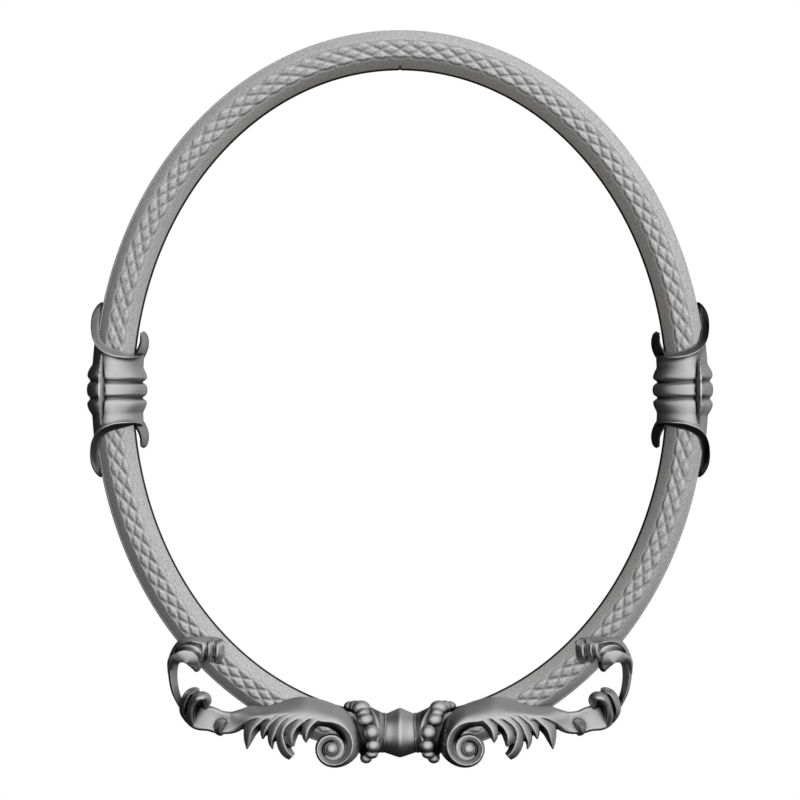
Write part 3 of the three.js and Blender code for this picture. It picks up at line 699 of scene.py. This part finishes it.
def collar_part(collar, middle):
    """A closed shell round the moulding: turned body, flared lips, slanting rims and a bed in the moulding.

    Also gives how far into a rim each point lies, above zero at the far end and below zero at the near end.
    """
    turns = np.radians(np.arange(-OVERRUN, 180.1 + OVERRUN, collar["turn_step"]))
    rim, edge = by_turn(collar["rim"], turns), by_turn(collar["rim_height"], turns)
    dish, inner = by_turn(collar["dish"], turns), by_turn(collar["inner_height"], turns)
    inner_turn = turns - np.radians(by_turn(collar["inner_turn"], turns))
    neck = collar["neck"]

    def body_height(distance):
        along = np.abs(distance) / (1 + collar["bend"] * np.cos(turns) ** 2)
        body = rounded(profile(collar["profile"], np.minimum(along, neck)), turns)
        body = body + collar["lean"] * np.cos(turns) * np.sin(np.clip(turns, 0, math.pi)) ** 2
        return shoulder_strap(turns, distance, body) if collar["strap"] else body

    # Outlines from the middle to one end: distance along the moulding, height over it and turn
    steps = np.arange(0, neck, collar["body_step"])
    half = [(np.full_like(turns, step), body_height(step), turns) for step in steps]
    for lip in np.linspace(0, 1, collar["lip_steps"]):
        distance = neck + (rim - neck) * lip
        body = body_height(distance)
        half.append((distance, body + (edge - body) * lip ** collar["lip_power"], turns))
    for share in DISH_STEPS:
        height = edge + (inner - edge) * np.interp(share, *np.transpose(collar["rim_fall"]))
        half.append((rim + dish * share, height, turns + (inner_turn - turns) * share))
    bed = np.full_like(turns, collar["bed"])
    half.append((rim + dish - BED_TUCK, bed, inner_turn))
    half.append((np.minimum(rim, neck), bed, turns))
    start = arc_at(middle)
    columns = [skin(angle_at(start + d), t, h) for d, h, t in half]
    columns += [skin(angle_at(start - d), t, h) for d, h, t in half[:0:-1]]
    dished = np.zeros(len(half))
    dished[-2 - len(DISH_STEPS):-2] = DISH_STEPS
    dished = np.concatenate([dished, -dished[:0:-1]])
    return loft(np.stack(columns, axis=1)), np.tile(dished, len(turns))


BALL_RINGS, BALL_AROUND, BALL_POLE = 20, 32, 0.02


def ball(x, z, depth, half):
    """A ball or an egg with half sizes along the three axes."""
    ring = np.linspace(BALL_POLE, math.pi - BALL_POLE, BALL_RINGS)[:, None]
    turn = np.linspace(0, 2 * math.pi, BALL_AROUND, endpoint=False)
    unit = np.stack([np.sin(ring) * np.cos(turn), np.sin(ring) * np.sin(turn), np.cos(ring) + 0 * turn], -1)
    return loft(points_at(x, z, depth) + half * unit)


# The side collars sit a little over the middle of the frame
COLLAR_RISE = 2.5
# Painted shade in the lower and upper rims of the side collars and on their horns, more of it on the right
# collar
RIM_SHADE = {"right": (0.3, 0.2, 0.22), "left": (0.15, 0.0, 0.0)}
RIM_SHADE_RUN = 0.12
# Painted shade in the cups of the foot collar, and more of it behind the pearls: strength, start across,
# run
CUP_SHADES = ((0.3, 19.5, 2), (0.08, 26, 6))
# Rounds of averaging that find the hollows and crests of each kind of piece
COLLAR_ROUNDS, PEARL_ROUNDS, ORNAMENT_ROUNDS = 8, 1, 6
COLLAR_SMOOTH, ORNAMENT_SMOOTH = 50, 180
# Horns that curl from the collar's lips over the inner edge, right side: stations as for the scrolls
HORN = [
    [267, 28, 17, 4.4, 7], [261, 34, 17.5, 5.4, 8], [257, 41.5, 17, 5.2, 7.5],
    [255.6, 48.4, 15.5, 4.6, 6.5], [256.4, 54.2, 14, 3.8, 5.5], [258.2, 57.6, 13, 2, 4],
]
# Pearls of the foot collar, right side: across, height, depth, half width, half depth, half height
PEARLS = [
    [49.6, -314.4, 16, 6.8, 3.8, 5.6], [44.4, -314.8, 19, 7.2, 4.4, 6.8], [38.8, -316.0, 22, 9.4, 5.4, 8],
    [36.4, -321.6, 26.4, 7.2, 4.8, 6.2], [34.4, -327.6, 30, 8.2, 5, 6.8], [28.3, -340.2, 33.8, 8, 5.4, 8],
    [27.1, -353.2, 31.6, 7.2, 4.6, 6.8], [28.4, -361.8, 26, 6.6, 4, 4.8], [33.8, -365.6, 20.4, 6.2, 4, 5.6],
]


def add_side_collars():
    horn = sweep(HORN, crested(-0.7, 0.9, 2.0, 1.0, 1.3), steps=60)
    horns = [moved(h, 0, COLLAR_RISE) for h in (horn, flipped(horn, UPSIDE_DOWN))]
    shell, dished = collar_part(SIDE_COLLAR, angle_at(arc_at(QUARTER) - COLLAR_RISE))
    part = combined([shell] + horns)
    for side in SIDES:
        piece = make(f"turned_side_collar_{side}", on_side(part, side), CASTING,
                     f"side_collar_{side}", COLLAR_SMOOTH)
        # Painted shade in the rims and on the horns
        lower, upper, on_horn = RIM_SHADE[side]
        in_rims = np.where(dished > 0, lower, upper) * ease(np.abs(dished) / RIM_SHADE_RUN)
        on_horns = np.full(2 * len(horn[0]), on_horn)
        sheltered(piece, COLLAR_ROUNDS, np.concatenate([in_rims, on_horns]))


def add_foot_collar():
    part, _ = collar_part(FOOT_COLLAR, math.pi)
    piece = make("turned_foot_collar", part, CASTING, "foot_collar", COLLAR_SMOOTH)
    across = np.abs(points_of(piece.data)[:, 0])
    # Painted shade in the cups and behind the pearls
    in_cups = sum(strength * rising(across, start, run) for strength, start, run in CUP_SHADES)
    sheltered(piece, COLLAR_ROUNDS, in_cups)
    pearls = combined([ball(x, z, depth, half) for x, z, depth, *half in PEARLS])
    for side in SIDES:
        piece = make(f"round_pearl_string_{side}", on_side(pearls, side), CASTING,
                     f"pearl_string_{side}")
        sheltered(piece, PEARL_ROUNDS)


# Scrolls and tendrils: stations are [across, up, depth, half width, half thickness]
ACROSS = np.linspace(-1, 1, 33)
# The flat back of a section is a little narrower than its front
BACK_HALF, BACK_POINTS = 0.92, 9
OUTLINE = np.concatenate([ACROSS, np.linspace(BACK_HALF, -BACK_HALF, BACK_POINTS)])


def crested(place, drop_low, drop_high, power_low, power_high):
    """A blade with a crest: it falls by the low drop towards -1 and by the high drop towards +1."""
    low = np.maximum(0, (place - ACROSS) / (place + 1))
    high = np.maximum(0, (ACROSS - place) / (1 - place))
    return 1 - drop_low * low**power_low - drop_high * high**power_high


def spread_out(run_x, run_z, half, over=ACROSS):
    """Points over the width of a path in the picture plane, in rows along the path."""
    step_x, step_z = np.gradient(run_x), np.gradient(run_z)
    size = np.hypot(step_x, step_z)
    x = run_x[:, None] - (step_z / size * half)[:, None] * over
    z = run_z[:, None] + (step_x / size * half)[:, None] * over
    return x, z


def sweep(stations, heights, steps):
    """A closed solid along smooth stations; the heights of its section may change along the run."""
    across, up, depth, half, thick = smooth(stations, steps).T
    x, z = spread_out(across, up, half, OUTLINE)
    shares = np.linspace(0, 1, steps)
    front = np.stack([heights(share) if callable(heights) else heights for share in shares])
    level = np.concatenate([front, np.full((steps, BACK_POINTS), -1.0)], axis=1)
    return loft(points_at(x, z, depth[:, None] + thick[:, None] * level))


# Middle of the volute's eye, its depth and its half sizes
EYE = (68.5, -14.7)
EYE_DEPTH, EYE_HALF = 35.0, (7.0, 4.9, 7.0)
LEAF = [
    [217, 23, 12, 3.5, 4], [210, 20.5, 16, 10, 4], [201, 17.5, 20, 13.2, 5], [190, 15.5, 21.5, 12.6, 6],
    [180, 12.2, 21.5, 11.8, 6], [168, 11.9, 22.5, 11, 6.5], [157, 16.2, 24.5, 9.4, 7.5],
    [146, 20.5, 27, 8.8, 8.5], [132, 22.6, 29.2, 8.4, 9], [116, 24.6, 31.2, 9.4, 9.5],
    [100, 26, 32, 11.6, 9.5], [85, 24.5, 32.4, 11.6, 9.5], [70, 21.6, 32.6, 9.8, 9.2],
    [58, 16.5, 31, 8.4, 8.5], [50, 9, 27, 7, 8],
]
LEAF_STEPS = 200
# The stem's trough, as shares of its thickness, and where it turns into the blade
STEM_RIM, STEM_DISH, STEM_HALF = 0.9, 0.25, 0.86
STEM_END, STEM_BLEND = 0.28, 0.24
# Below its crest the blade dives under the leaflets: depth, then start and run over its width and length
DIVE = 7
DIVE_OVER, DIVE_ALONG = (0.45, 0.55), (78, 14)
# Surface of the leaf: across, top edge, crest line, depth of the crest
BLADE = [
    [44, 19, 5, 30], [54, 24.6, 9.5, 37.5], [62, 28.2, 11.8, 41.2], [70, 31, 12.6, 42],
    [85, 36.2, 13.2, 42.2], [96, 38.3, 14.2, 42.2], [110, 35.4, 16.2, 41.6], [124, 32.2, 17.4, 40.4],
    [140, 29.4, 16.4, 38.2], [152, 27.5, 15, 35.8], [170, 23, 13, 31.5],
]
BLADE_POINTS = 200
# The blade's fall to its top edge, near the volute and near the stem, where it changes, and its power
BLADE_FALL, BLADE_POWER = (14.0, 7.0, 135, 25), 1.75
# The blade's fall below its crest: slope and growth
BLADE_BELOW = (0.02, 0.002)
# Leaflets: across, up, half width, depth of the grooves beside them
LEAFLETS = [
    [[128, 24, 5, 7], [134, 18.8, 6.4, 7], [141, 12.8, 7.2, 7], [148.5, 5, 7.4, 6.5], [151.5, -5, 4.8, 5.5],
     [153, -15, 0.7, 1.6]],
    [[108, 28, 5, 7], [115, 23.4, 5.6, 7], [122.4, 17.8, 6.4, 7], [131, 10.5, 6.2, 6.5],
     [135.6, 2.5, 4.4, 5.2], [137.4, -5, 0.7, 1.6]],
    [[97, 28, 5, 7], [105, 23.4, 5.6, 7], [113, 18, 6.2, 7], [122, 9.5, 6.5, 6.6], [126.8, -1, 5.6, 6],
     [128.6, -8, 3.2, 4.7], [127.3, -15, 0.7, 1.6]],
    [[90, 26, 5, 7], [98, 21.4, 5.6, 7], [106, 15.5, 6.2, 7], [114.5, 8.5, 5.6, 6.6], [118.2, 0, 5.6, 6],
     [116.8, -9.5, 6.4, 6], [113, -17.5, 6, 5.5], [107.8, -22.5, 4.4, 4.6]],
    [[79, 25, 5, 7], [87, 20.6, 5.6, 7], [95, 15, 6.2, 7], [103.5, 8, 6.2, 6.6], [108, 0.5, 6.3, 6],
     [108.8, -6, 5.3, 5.2], [107.4, -12.4, 2.0, 3.2]],
    [[70, 22, 5, 7], [78, 18, 5.4, 7], [85.5, 13, 6, 7], [92, 5.5, 6, 6.5], [94, -2.5, 4, 5],
     [93.8, -8.5, 0.7, 1.6]],
]
LEAFLET_STEPS = 70
# A leaflet's crest over its width, and its two falls: first and last value, start and run
LEAFLET_CREST = -0.22
LEAFLET_WALL, LEAFLET_SLOPE = (0.02, 1.87, 0.16, 0.4), (0.02, 0.54, 0.16, 0.4)
LEAFLET_POWERS = (1.0, 1.5)
# How far a leaflet's tip is bent back; how far its back lies under its grooves
TIP_BEND, TIP_START, TIP_RUN = 2.5, 0.6, 0.5
LEAFLET_BACK = 1
SIDE_CURL = [
    [177, -0.4, 21, 2, 3.5], [180.6, 3.2, 26, 4.8, 6.5], [180, 8.2, 29, 5.6, 7], [176.8, 12, 29, 4.6, 6.5],
    [173, 12.8, 26, 1.4, 3.5],
]
CUFF_OUTER = [
    [213.4, 12.6, 17, 1.4, 3], [217.4, 22, 22.5, 3, 6], [216.6, 31, 26, 3.7, 7],
    [212.2, 39.9, 28, 3.9, 7.5], [205.6, 44.2, 28, 3.2, 7], [200.5, 44.6, 26.5, 1.6, 4],
]
CUFF_INNER = [
    [207, 8.5, 19, 2.4, 4], [209.8, 19, 24, 3.8, 7], [208.2, 29, 28, 4.5, 8], [204.2, 35, 31.5, 5.2, 8.5],
    [199.4, 37.2, 32, 5.8, 8.5], [194.8, 36, 31.5, 6, 8], [194.4, 31, 29, 5.4, 6.5],
    [195.2, 25.8, 25, 1.2, 3.5],
]
# Floors behind the openings of the volute and the cuff: across, up, reach, depths
WEBS = (
    (67.5, -14.7, 10.5, (22.0, 32.6)), (65.6, -15.2, 17.4, (17.0, 21.0)), (199.5, 31.0, 8.0, (10.0, 12.5)),
)
WEB_POINTS = 48
# Volute by quarter turns, over the centre side: inner, crest and outer radius, depth of the crest
VOLUTE_START = -math.pi / 4
VOLUTE = [
    [28.6, 29.6, 50, 42.2], [14.4, 23.6, 36.6, 41.7], [11.4, 18, 21.9, 39.8], [9.8, 15.2, 17, 37.6],
    [8.8, 14, 16.3, 36.5], [7.6, 13, 14.7, 36], [6.4, 11.3, 13.2, 35.1], [5.2, 9.3, 11.6, 33.8],
]
VOLUTE_STEPS = 240
VOLUTE_THICK = [8, 9.4, 8.2, 6.8, 5.2, 4, 3.2, 2.4]
# How far the band falls towards the eye, as a share of its thickness
VOLUTE_INNER_FALL = [1.5, 1.45, 0.7, 0.5, 0.45, 0.45, 0.4, 0.3]
# First and last value, start and run: fall of the outer wall, and powers of both walls
VOLUTE_OUTER_FALL = (1.5, 0.5, 0.6, 0.08)
VOLUTE_OUTER_POWER, VOLUTE_INNER_POWER = (2.0, 1.35, 0.06, 0.1), (1.1, 1.8, 0.5, 0.3)
# How deep the start of the volute lies under the leaf, and the angle over which it comes up
VOLUTE_SINK, VOLUTE_RAMP = 7.0, math.radians(38)


def volute():
    inner, crest, outer, depth = smooth(VOLUTE, VOLUTE_STEPS).T
    quarters = np.linspace(0, len(VOLUTE) - 1, VOLUTE_STEPS)
    turn = VOLUTE_START + quarters * QUARTER
    depth = depth - VOLUTE_SINK * (1 - rising(turn, VOLUTE_START, VOLUTE_RAMP))
    radius, half = (inner + outer) / 2, (outer - inner) / 2
    thick = np.interp(quarters, np.arange(len(VOLUTE)), VOLUTE_THICK)
    crest_place = (radius - crest) / half
    x, z = EYE[0] - radius * np.sin(turn), EYE[1] + radius * np.cos(turn)

    def heights(share):
        place = np.interp(share, np.linspace(0, 1, VOLUTE_STEPS), crest_place)
        inner_fall = np.interp(share, np.linspace(0, 1, len(VOLUTE)), VOLUTE_INNER_FALL)
        outer_fall = changing(share, *VOLUTE_OUTER_FALL)
        powers = changing(share, *VOLUTE_OUTER_POWER), changing(share, *VOLUTE_INNER_POWER)
        return crested(place, outer_fall, inner_fall, *powers)

    return sweep(np.stack([x, z, depth - thick, half, thick], -1), heights, VOLUTE_STEPS)


def blade_depth(x, z):
    """Depth of the leaf's surface: steep along the top edge, flat at the crest, gently falling below it."""
    rows = smooth(BLADE, BLADE_POINTS)
    top, crest, depth = (np.interp(x, rows[:, 0], rows[:, k]) for k in (1, 2, 3))
    over = np.maximum(0, z - crest) / (top - crest)
    below = np.maximum(0, crest - z)
    return depth - changing(x, *BLADE_FALL) * over**BLADE_POWER - curved_fall(below, *BLADE_BELOW)


def solid_over(x, z, front, back_depth):
    """A closed solid under rows of front points; its back is flat."""
    turned = np.linspace(x.shape[1] - 1, 0, BACK_POINTS).round().astype(int)
    back = points_at(x[:, turned], z[:, turned], back_depth[:, None])
    return loft(np.concatenate([points_at(x, z, front), back], axis=1))


def leaf_body():
    """A scooped stem that turns into a blade; below the blade's crest it dives under the leaflets."""
    across, up, depth, half, thick = smooth(LEAF, LEAF_STEPS).T
    x, z = spread_out(across, up, half)
    share = np.linspace(0, 1, LEAF_STEPS)[:, None]
    rims = np.sqrt(np.maximum(0, 1 - ACROSS**10))
    trough = STEM_RIM * rims - STEM_DISH * np.maximum(0, 1 - (ACROSS / STEM_HALF) ** 2)
    stem = depth[:, None] + thick[:, None] * trough
    blade = blade_depth(x, z) - DIVE * rising(ACROSS, *DIVE_OVER) * rising(across[:, None], *DIVE_ALONG)
    return solid_over(x, z, changing(share, stem, blade, STEM_END, STEM_BLEND), depth - thick)


def leaflet(stations):
    """A leaflet on the blade: flat where it starts, then a ridge with a steep wall; its tip bends back."""
    across, up, half, groove = smooth(stations, LEAFLET_STEPS).T
    x, z = spread_out(across, up, half)
    shares = np.linspace(0, 1, LEAFLET_STEPS)
    falls = zip(changing(shares, *LEAFLET_WALL), changing(shares, *LEAFLET_SLOPE))
    cut = np.stack([1 - crested(LEAFLET_CREST, wall, slope, *LEAFLET_POWERS) for wall, slope in falls])
    bend = TIP_BEND * rising(shares, TIP_START, TIP_RUN) ** 2
    front = blade_depth(x, z) - groove[:, None] * cut - bend[:, None]
    return solid_over(x, z, front, blade_depth(across, up) - bend - 2 * groove - LEAFLET_BACK)


def web(across, up, reach, depths):
    """A round plate between two depths."""
    turn = np.linspace(0, 2 * math.pi, WEB_POINTS, endpoint=False)
    x, z = across + reach * np.cos(turn), up + reach * np.sin(turn)
    return loft(np.array([points_at(x, z, depth) for depth in depths]))


def scroll():
    parts = [leaf_body(), volute()]
    parts += [leaflet(stations) for stations in LEAFLETS]
    parts.append(sweep(SIDE_CURL, crested(0.0, 1.3, 1.6, 1.2, 1.0), steps=40))
    parts.append(sweep(CUFF_OUTER, crested(0.5, 1.15, 0.8, 1.25, 1.2), steps=60))
    parts.append(sweep(CUFF_INNER, crested(0.4, 0.64, 1.4, 2.2, 1.0), steps=80))
    parts.append(ball(*EYE, EYE_DEPTH, EYE_HALF))
    parts += [web(*row) for row in WEBS]
    return fused(parts)


# Tendrils: where they sit along the moulding, measured from the foot, and their forms
TENDRIL_ALONG = 212.6
STRAP = [
    [29, -58, 14, 3, 4], [33, -50, 15, 3.6, 4.5], [36.3, -41, 17, 4.2, 5], [38, -32, 18.5, 4.5, 5.5],
    [38.6, -24, 20, 4.8, 6], [38, -15, 22, 5.2, 6.5], [34, -7.5, 24, 5.2, 6.5], [29, -3, 26, 4, 5],
]
HOOK = [
    [42, -24, 20, 2, 4], [39.6, -12, 28, 4.6, 6], [33, -7.4, 31.5, 6.4, 7], [26.4, -6, 32.4, 7.4, 7.5],
    [20, -9, 32.5, 7.6, 7], [16, -14.6, 30, 6.8, 6.5], [15.4, -19.6, 25.5, 4.4, 6], [16.2, -22.4, 22, 1, 4],
]
TOP_FOLD = [
    [41, -8, 24, 2, 5], [36.2, 1.2, 28, 2.6, 6.5], [30.5, 6.8, 31, 3.2, 7.5], [23.5, 9, 33, 3.6, 8],
    [16.5, 8.6, 34.5, 4.4, 8], [9, 7.5, 34, 5.6, 7], [1, 7.5, 32, 5.4, 6], [-6.4, 7, 30, 5, 5],
    [-12.6, 4.6, 26, 3, 4],
]
INNER_FOLD = [
    [41, -12, 20, 3, 4], [35.5, -2.5, 26, 4.4, 5], [28, 2, 31, 5.4, 6], [20, 1.6, 33.5, 6, 7],
    [14, -2, 34.2, 6, 7], [10.5, -8, 32.5, 4.2, 6],
]
RIBS = [
    [[-6.8, 9.6, 28, 4.4, 4.5], [-7.8, 6, 32, 5, 8], [-8, -2.5, 33, 5, 9], [-6.6, -9, 32.5, 4.6, 8],
     [-4.6, -14, 31, 2.4, 5]],
    [[2, 10, 29, 4.4, 5], [1.2, 6, 33, 4.3, 8.5], [0.6, -1.5, 34, 4, 9], [2, -8, 33.5, 3.8, 8],
     [5, -13, 32, 2, 5]],
    [[8.6, 9.6, 31, 3.2, 5], [7.4, 4, 33.5, 3.2, 7.5], [7.4, -4.5, 34, 2.8, 7], [11, -9.6, 33, 2.2, 6],
     [14, -7.4, 32, 1.6, 5], [12.4, -4.4, 32, 1.2, 5]],
]
# First and last value, start and run: the hook's crest, the top fold's upper fall, the ribs' two falls
HOOK_CREST, FOLD_FALL = (-0.7, -0.1, 0.6, 0.3), (1.6, 0.35, 0.4, 0.25)
RIB_SLOPE, RIB_WALL = (0.08, 0.6, 0.12, 0.35), (0.12, 0.55, 0.12, 0.35)


def rib_heights(share):
    """A slope towards the middle of the frame and a steep wall behind; both grow out of the smooth fold."""
    return crested(0.5, changing(share, *RIB_SLOPE), changing(share, *RIB_WALL), 1.3, 1.2)


def tendril():
    parts = [
        sweep(STRAP, crested(-0.55, 1.6, 1.1, 1.0, 0.9), steps=90),
        sweep(HOOK, lambda share: crested(changing(share, *HOOK_CREST), 1.5, 0.3, 1.1, 2.0), steps=80),
        sweep(TOP_FOLD, lambda share: crested(0.35, 1.5, changing(share, *FOLD_FALL), 1.7, 1.0), steps=90),
        sweep(INNER_FOLD, crested(-0.3, 0.5, 0.45, 1.4, 1.6), steps=70),
    ]
    parts += [sweep(rib, rib_heights, steps=50) for rib in RIBS]
    return fused(parts)


# Painted shade on the outer wall of the right volute; where it starts and ends round the eye
WALL_SHADE = {"right": 0.24, "left": 0.0}
WALL_START, WALL_START_RUN = math.radians(15), math.radians(40)
WALL_END, WALL_END_RUN = math.radians(175), math.radians(25)
WALL_AWAY, WALL_RUN = 0.8, 2.4


def volute_wall(points):
    """Where a point lies on the outer wall of a volute, on the side of the foot collar: 0 to 1."""
    inward, up = EYE[0] - np.abs(points[:, 0]), points[:, 2] + HALF_HEIGHT - EYE[1]
    turn, radius = np.arctan2(inward, up), np.hypot(inward, up)
    crest = np.interp(turn, VOLUTE_START + np.arange(3) * QUARTER, [row[1] for row in VOLUTE[:3]])
    along = rising(turn, WALL_START, WALL_START_RUN) * ease((WALL_END - turn) / WALL_END_RUN)
    return along * rising(radius - crest, WALL_AWAY, WALL_RUN) * (radius < 2 * crest)


def add_ornaments():
    x, _, z = oval(angle_at(arc_at(math.pi) - TENDRIL_ALONG), 0.0, 0.0)
    made = {"scroll": moved(scroll(), 0, -HALF_HEIGHT), "tendril": moved(tendril(), x, z)}
    for name, part in made.items():
        for side in SIDES:
            piece = make(f"cast_{name}_{side}", on_side(part, side), CASTING,
                         f"{name}_{side}", ORNAMENT_SMOOTH)
            # Painted shade on the outer wall of the right volute
            shade = WALL_SHADE[side] if name == "scroll" else 0.0
            sheltered(piece, ORNAMENT_ROUNDS, shade * volute_wall(points_of(piece.data)))


# Fittings on the back, the glass and the board keep their solids; steel and rubber get rounded edges
FITTINGS = {"steel": ZINC, "rubber": RUBBER, "beech": BEECH, "hardboard": HARDBOARD, "mirror": SILVER}
ROUND_WIDTH, ROUND_STEPS, ROUND_ANGLE = 0.3, 2, 50


def finish_fittings():
    slots = {row["node"]: row["material_slot"] for row in frame["record"]["subparts"]}
    for name, piece in frame["nodes"].items():
        material = FITTINGS.get(slots[name])
        if material is None:
            continue
        piece.data.materials.clear()
        piece.data.materials.append(material)
        piece.visible_diffuse = material is not SILVER
        piece.visible_glossy = material not in (SILVER, HARDBOARD)
        if slots[name] in ("steel", "rubber"):
            edge = piece.modifiers.new("rounded_edges", "BEVEL")
            edge.width = ROUND_WIDTH * MM
            edge.segments = ROUND_STEPS
            edge.limit_method = "ANGLE"
            edge.angle_limit = math.radians(ROUND_ANGLE)


# Studio, in metres
PHOTO_HEIGHT = 0.8
PHOTO_CENTRE = -7.7 * MM
CAMERA_AWAY = 2.0
FLOOR_BELOW, FLOOR_REACH = -0.62, 3.0
FLOOR_CORNERS = ((-1, -1), (1, -1), (1, 1), (-1, 1))
WHITE = (1.0, 1.0, 1.0)
AMBIENT = (0.05, 0.05, 0.05)
# What reflections see: direction, how squarely they face it at its edge and its middle, light at both
SCREEN = ((0.1, -0.98, 0.15), (0.45, 0.97), (0.0, 1.0))
SIDE_WINDOW = ((0.76, 0.2, 0.6), (-0.1, 0.9), (0.012, 0.42))
BACK_WINDOW = ((0.0, 0.99, 0.1), (0.93, 0.99), (0.0, 0.3))
# Lamps: the way their light goes, strength, softness in degrees, whether they cast shadows
LAMPS = {
    "key": ((-0.49, 0.41, -0.63), 2.9, 20, False),
    "fill": ((0.0, 1.0, 0.0), 1.15, 40, True),
    "back": ((0.1, -0.95, -0.25), 2.2, 30, True),
}


def world_light():
    """White for the camera; reflections see a white screen in front, and dim windows beside and behind."""
    world = bpy.data.worlds.new("studio")
    bpy.context.scene.world = world
    world.use_nodes = True
    tree = world.node_tree
    path = node(tree, "LightPath").outputs
    place = node(tree, "TexCoord").outputs["Generated"]

    def joined(kind, operation, first, second):
        made = node(tree, kind)
        made.operation = operation
        fill(tree, made.inputs[0], first)
        fill(tree, made.inputs[1], second)
        return made.outputs["Value"]

    def towards(direction, facing, light):
        square = joined("VectorMath", "DOT_PRODUCT", place, direction)
        turned = node(tree, "MapRange", Value=square, From_Min=facing[0], From_Max=facing[1],
                      To_Min=light[0], To_Max=light[1])
        turned.interpolation_type = "SMOOTHSTEP"
        return turned.outputs["Result"]

    windows = mixed(tree, "ADD", 1.0, towards(*SIDE_WINDOW), towards(*BACK_WINDOW))
    seen = mixed(tree, "MIX", towards(*SCREEN), windows, WHITE)
    through = joined("Math", "MAXIMUM", path["Is Glossy Ray"], path["Is Transmission Ray"])
    direct = joined("Math", "LESS_THAN", path["Diffuse Depth"], 0.5)
    colour = mixed(tree, "MIX", joined("Math", "MULTIPLY", through, direct), AMBIENT, seen)
    colour = mixed(tree, "MIX", path["Is Camera Ray"], colour, WHITE)
    feed(tree, tree.nodes["Background"], Color=colour)


def add_lamp(name, towards, strength, softness, shadow):
    lamp = bpy.data.lights.new(name, "SUN")
    lamp.energy = strength
    lamp.angle = math.radians(softness)
    lamp.use_shadow = shadow
    holder = linked(name, lamp)
    holder.rotation_mode = "QUATERNION"
    holder.rotation_quaternion = Vector(towards).to_track_quat("-Z", "Y")
    holder.visible_glossy = False


def add_camera():
    camera = bpy.data.cameras.new("camera")
    camera.type = "ORTHO"
    camera.ortho_scale = PHOTO_HEIGHT
    holder = linked("camera", camera)
    holder.location = (0, -CAMERA_AWAY, PHOTO_CENTRE)
    holder.rotation_euler = (QUARTER, 0, 0)
    bpy.context.scene.camera = holder


def add_floor():
    corners = [(x * FLOOR_REACH, y * FLOOR_REACH, FLOOR_BELOW) for x, y in FLOOR_CORNERS]
    mesh = bpy.data.meshes.new("floor")
    mesh.from_pydata(corners, [], [(0, 1, 2, 3)])
    floor = linked("floor", mesh)
    material, tree, shader = nodes_of("pale_floor")
    feed(tree, shader, Base_Color=(0.8, 0.8, 0.8), Roughness=0.9)
    mesh.materials.append(material)
    floor.visible_diffuse = False
    floor.visible_glossy = False


def add_studio():
    bpy.context.scene.view_settings.view_transform = "Standard"
    world_light()
    for name, lamp in LAMPS.items():
        add_lamp(name, *lamp)
    add_camera()
    add_floor()


add_mouldings()
add_side_collars()
add_foot_collar()
add_ornaments()
finish_fittings()
add_studio()
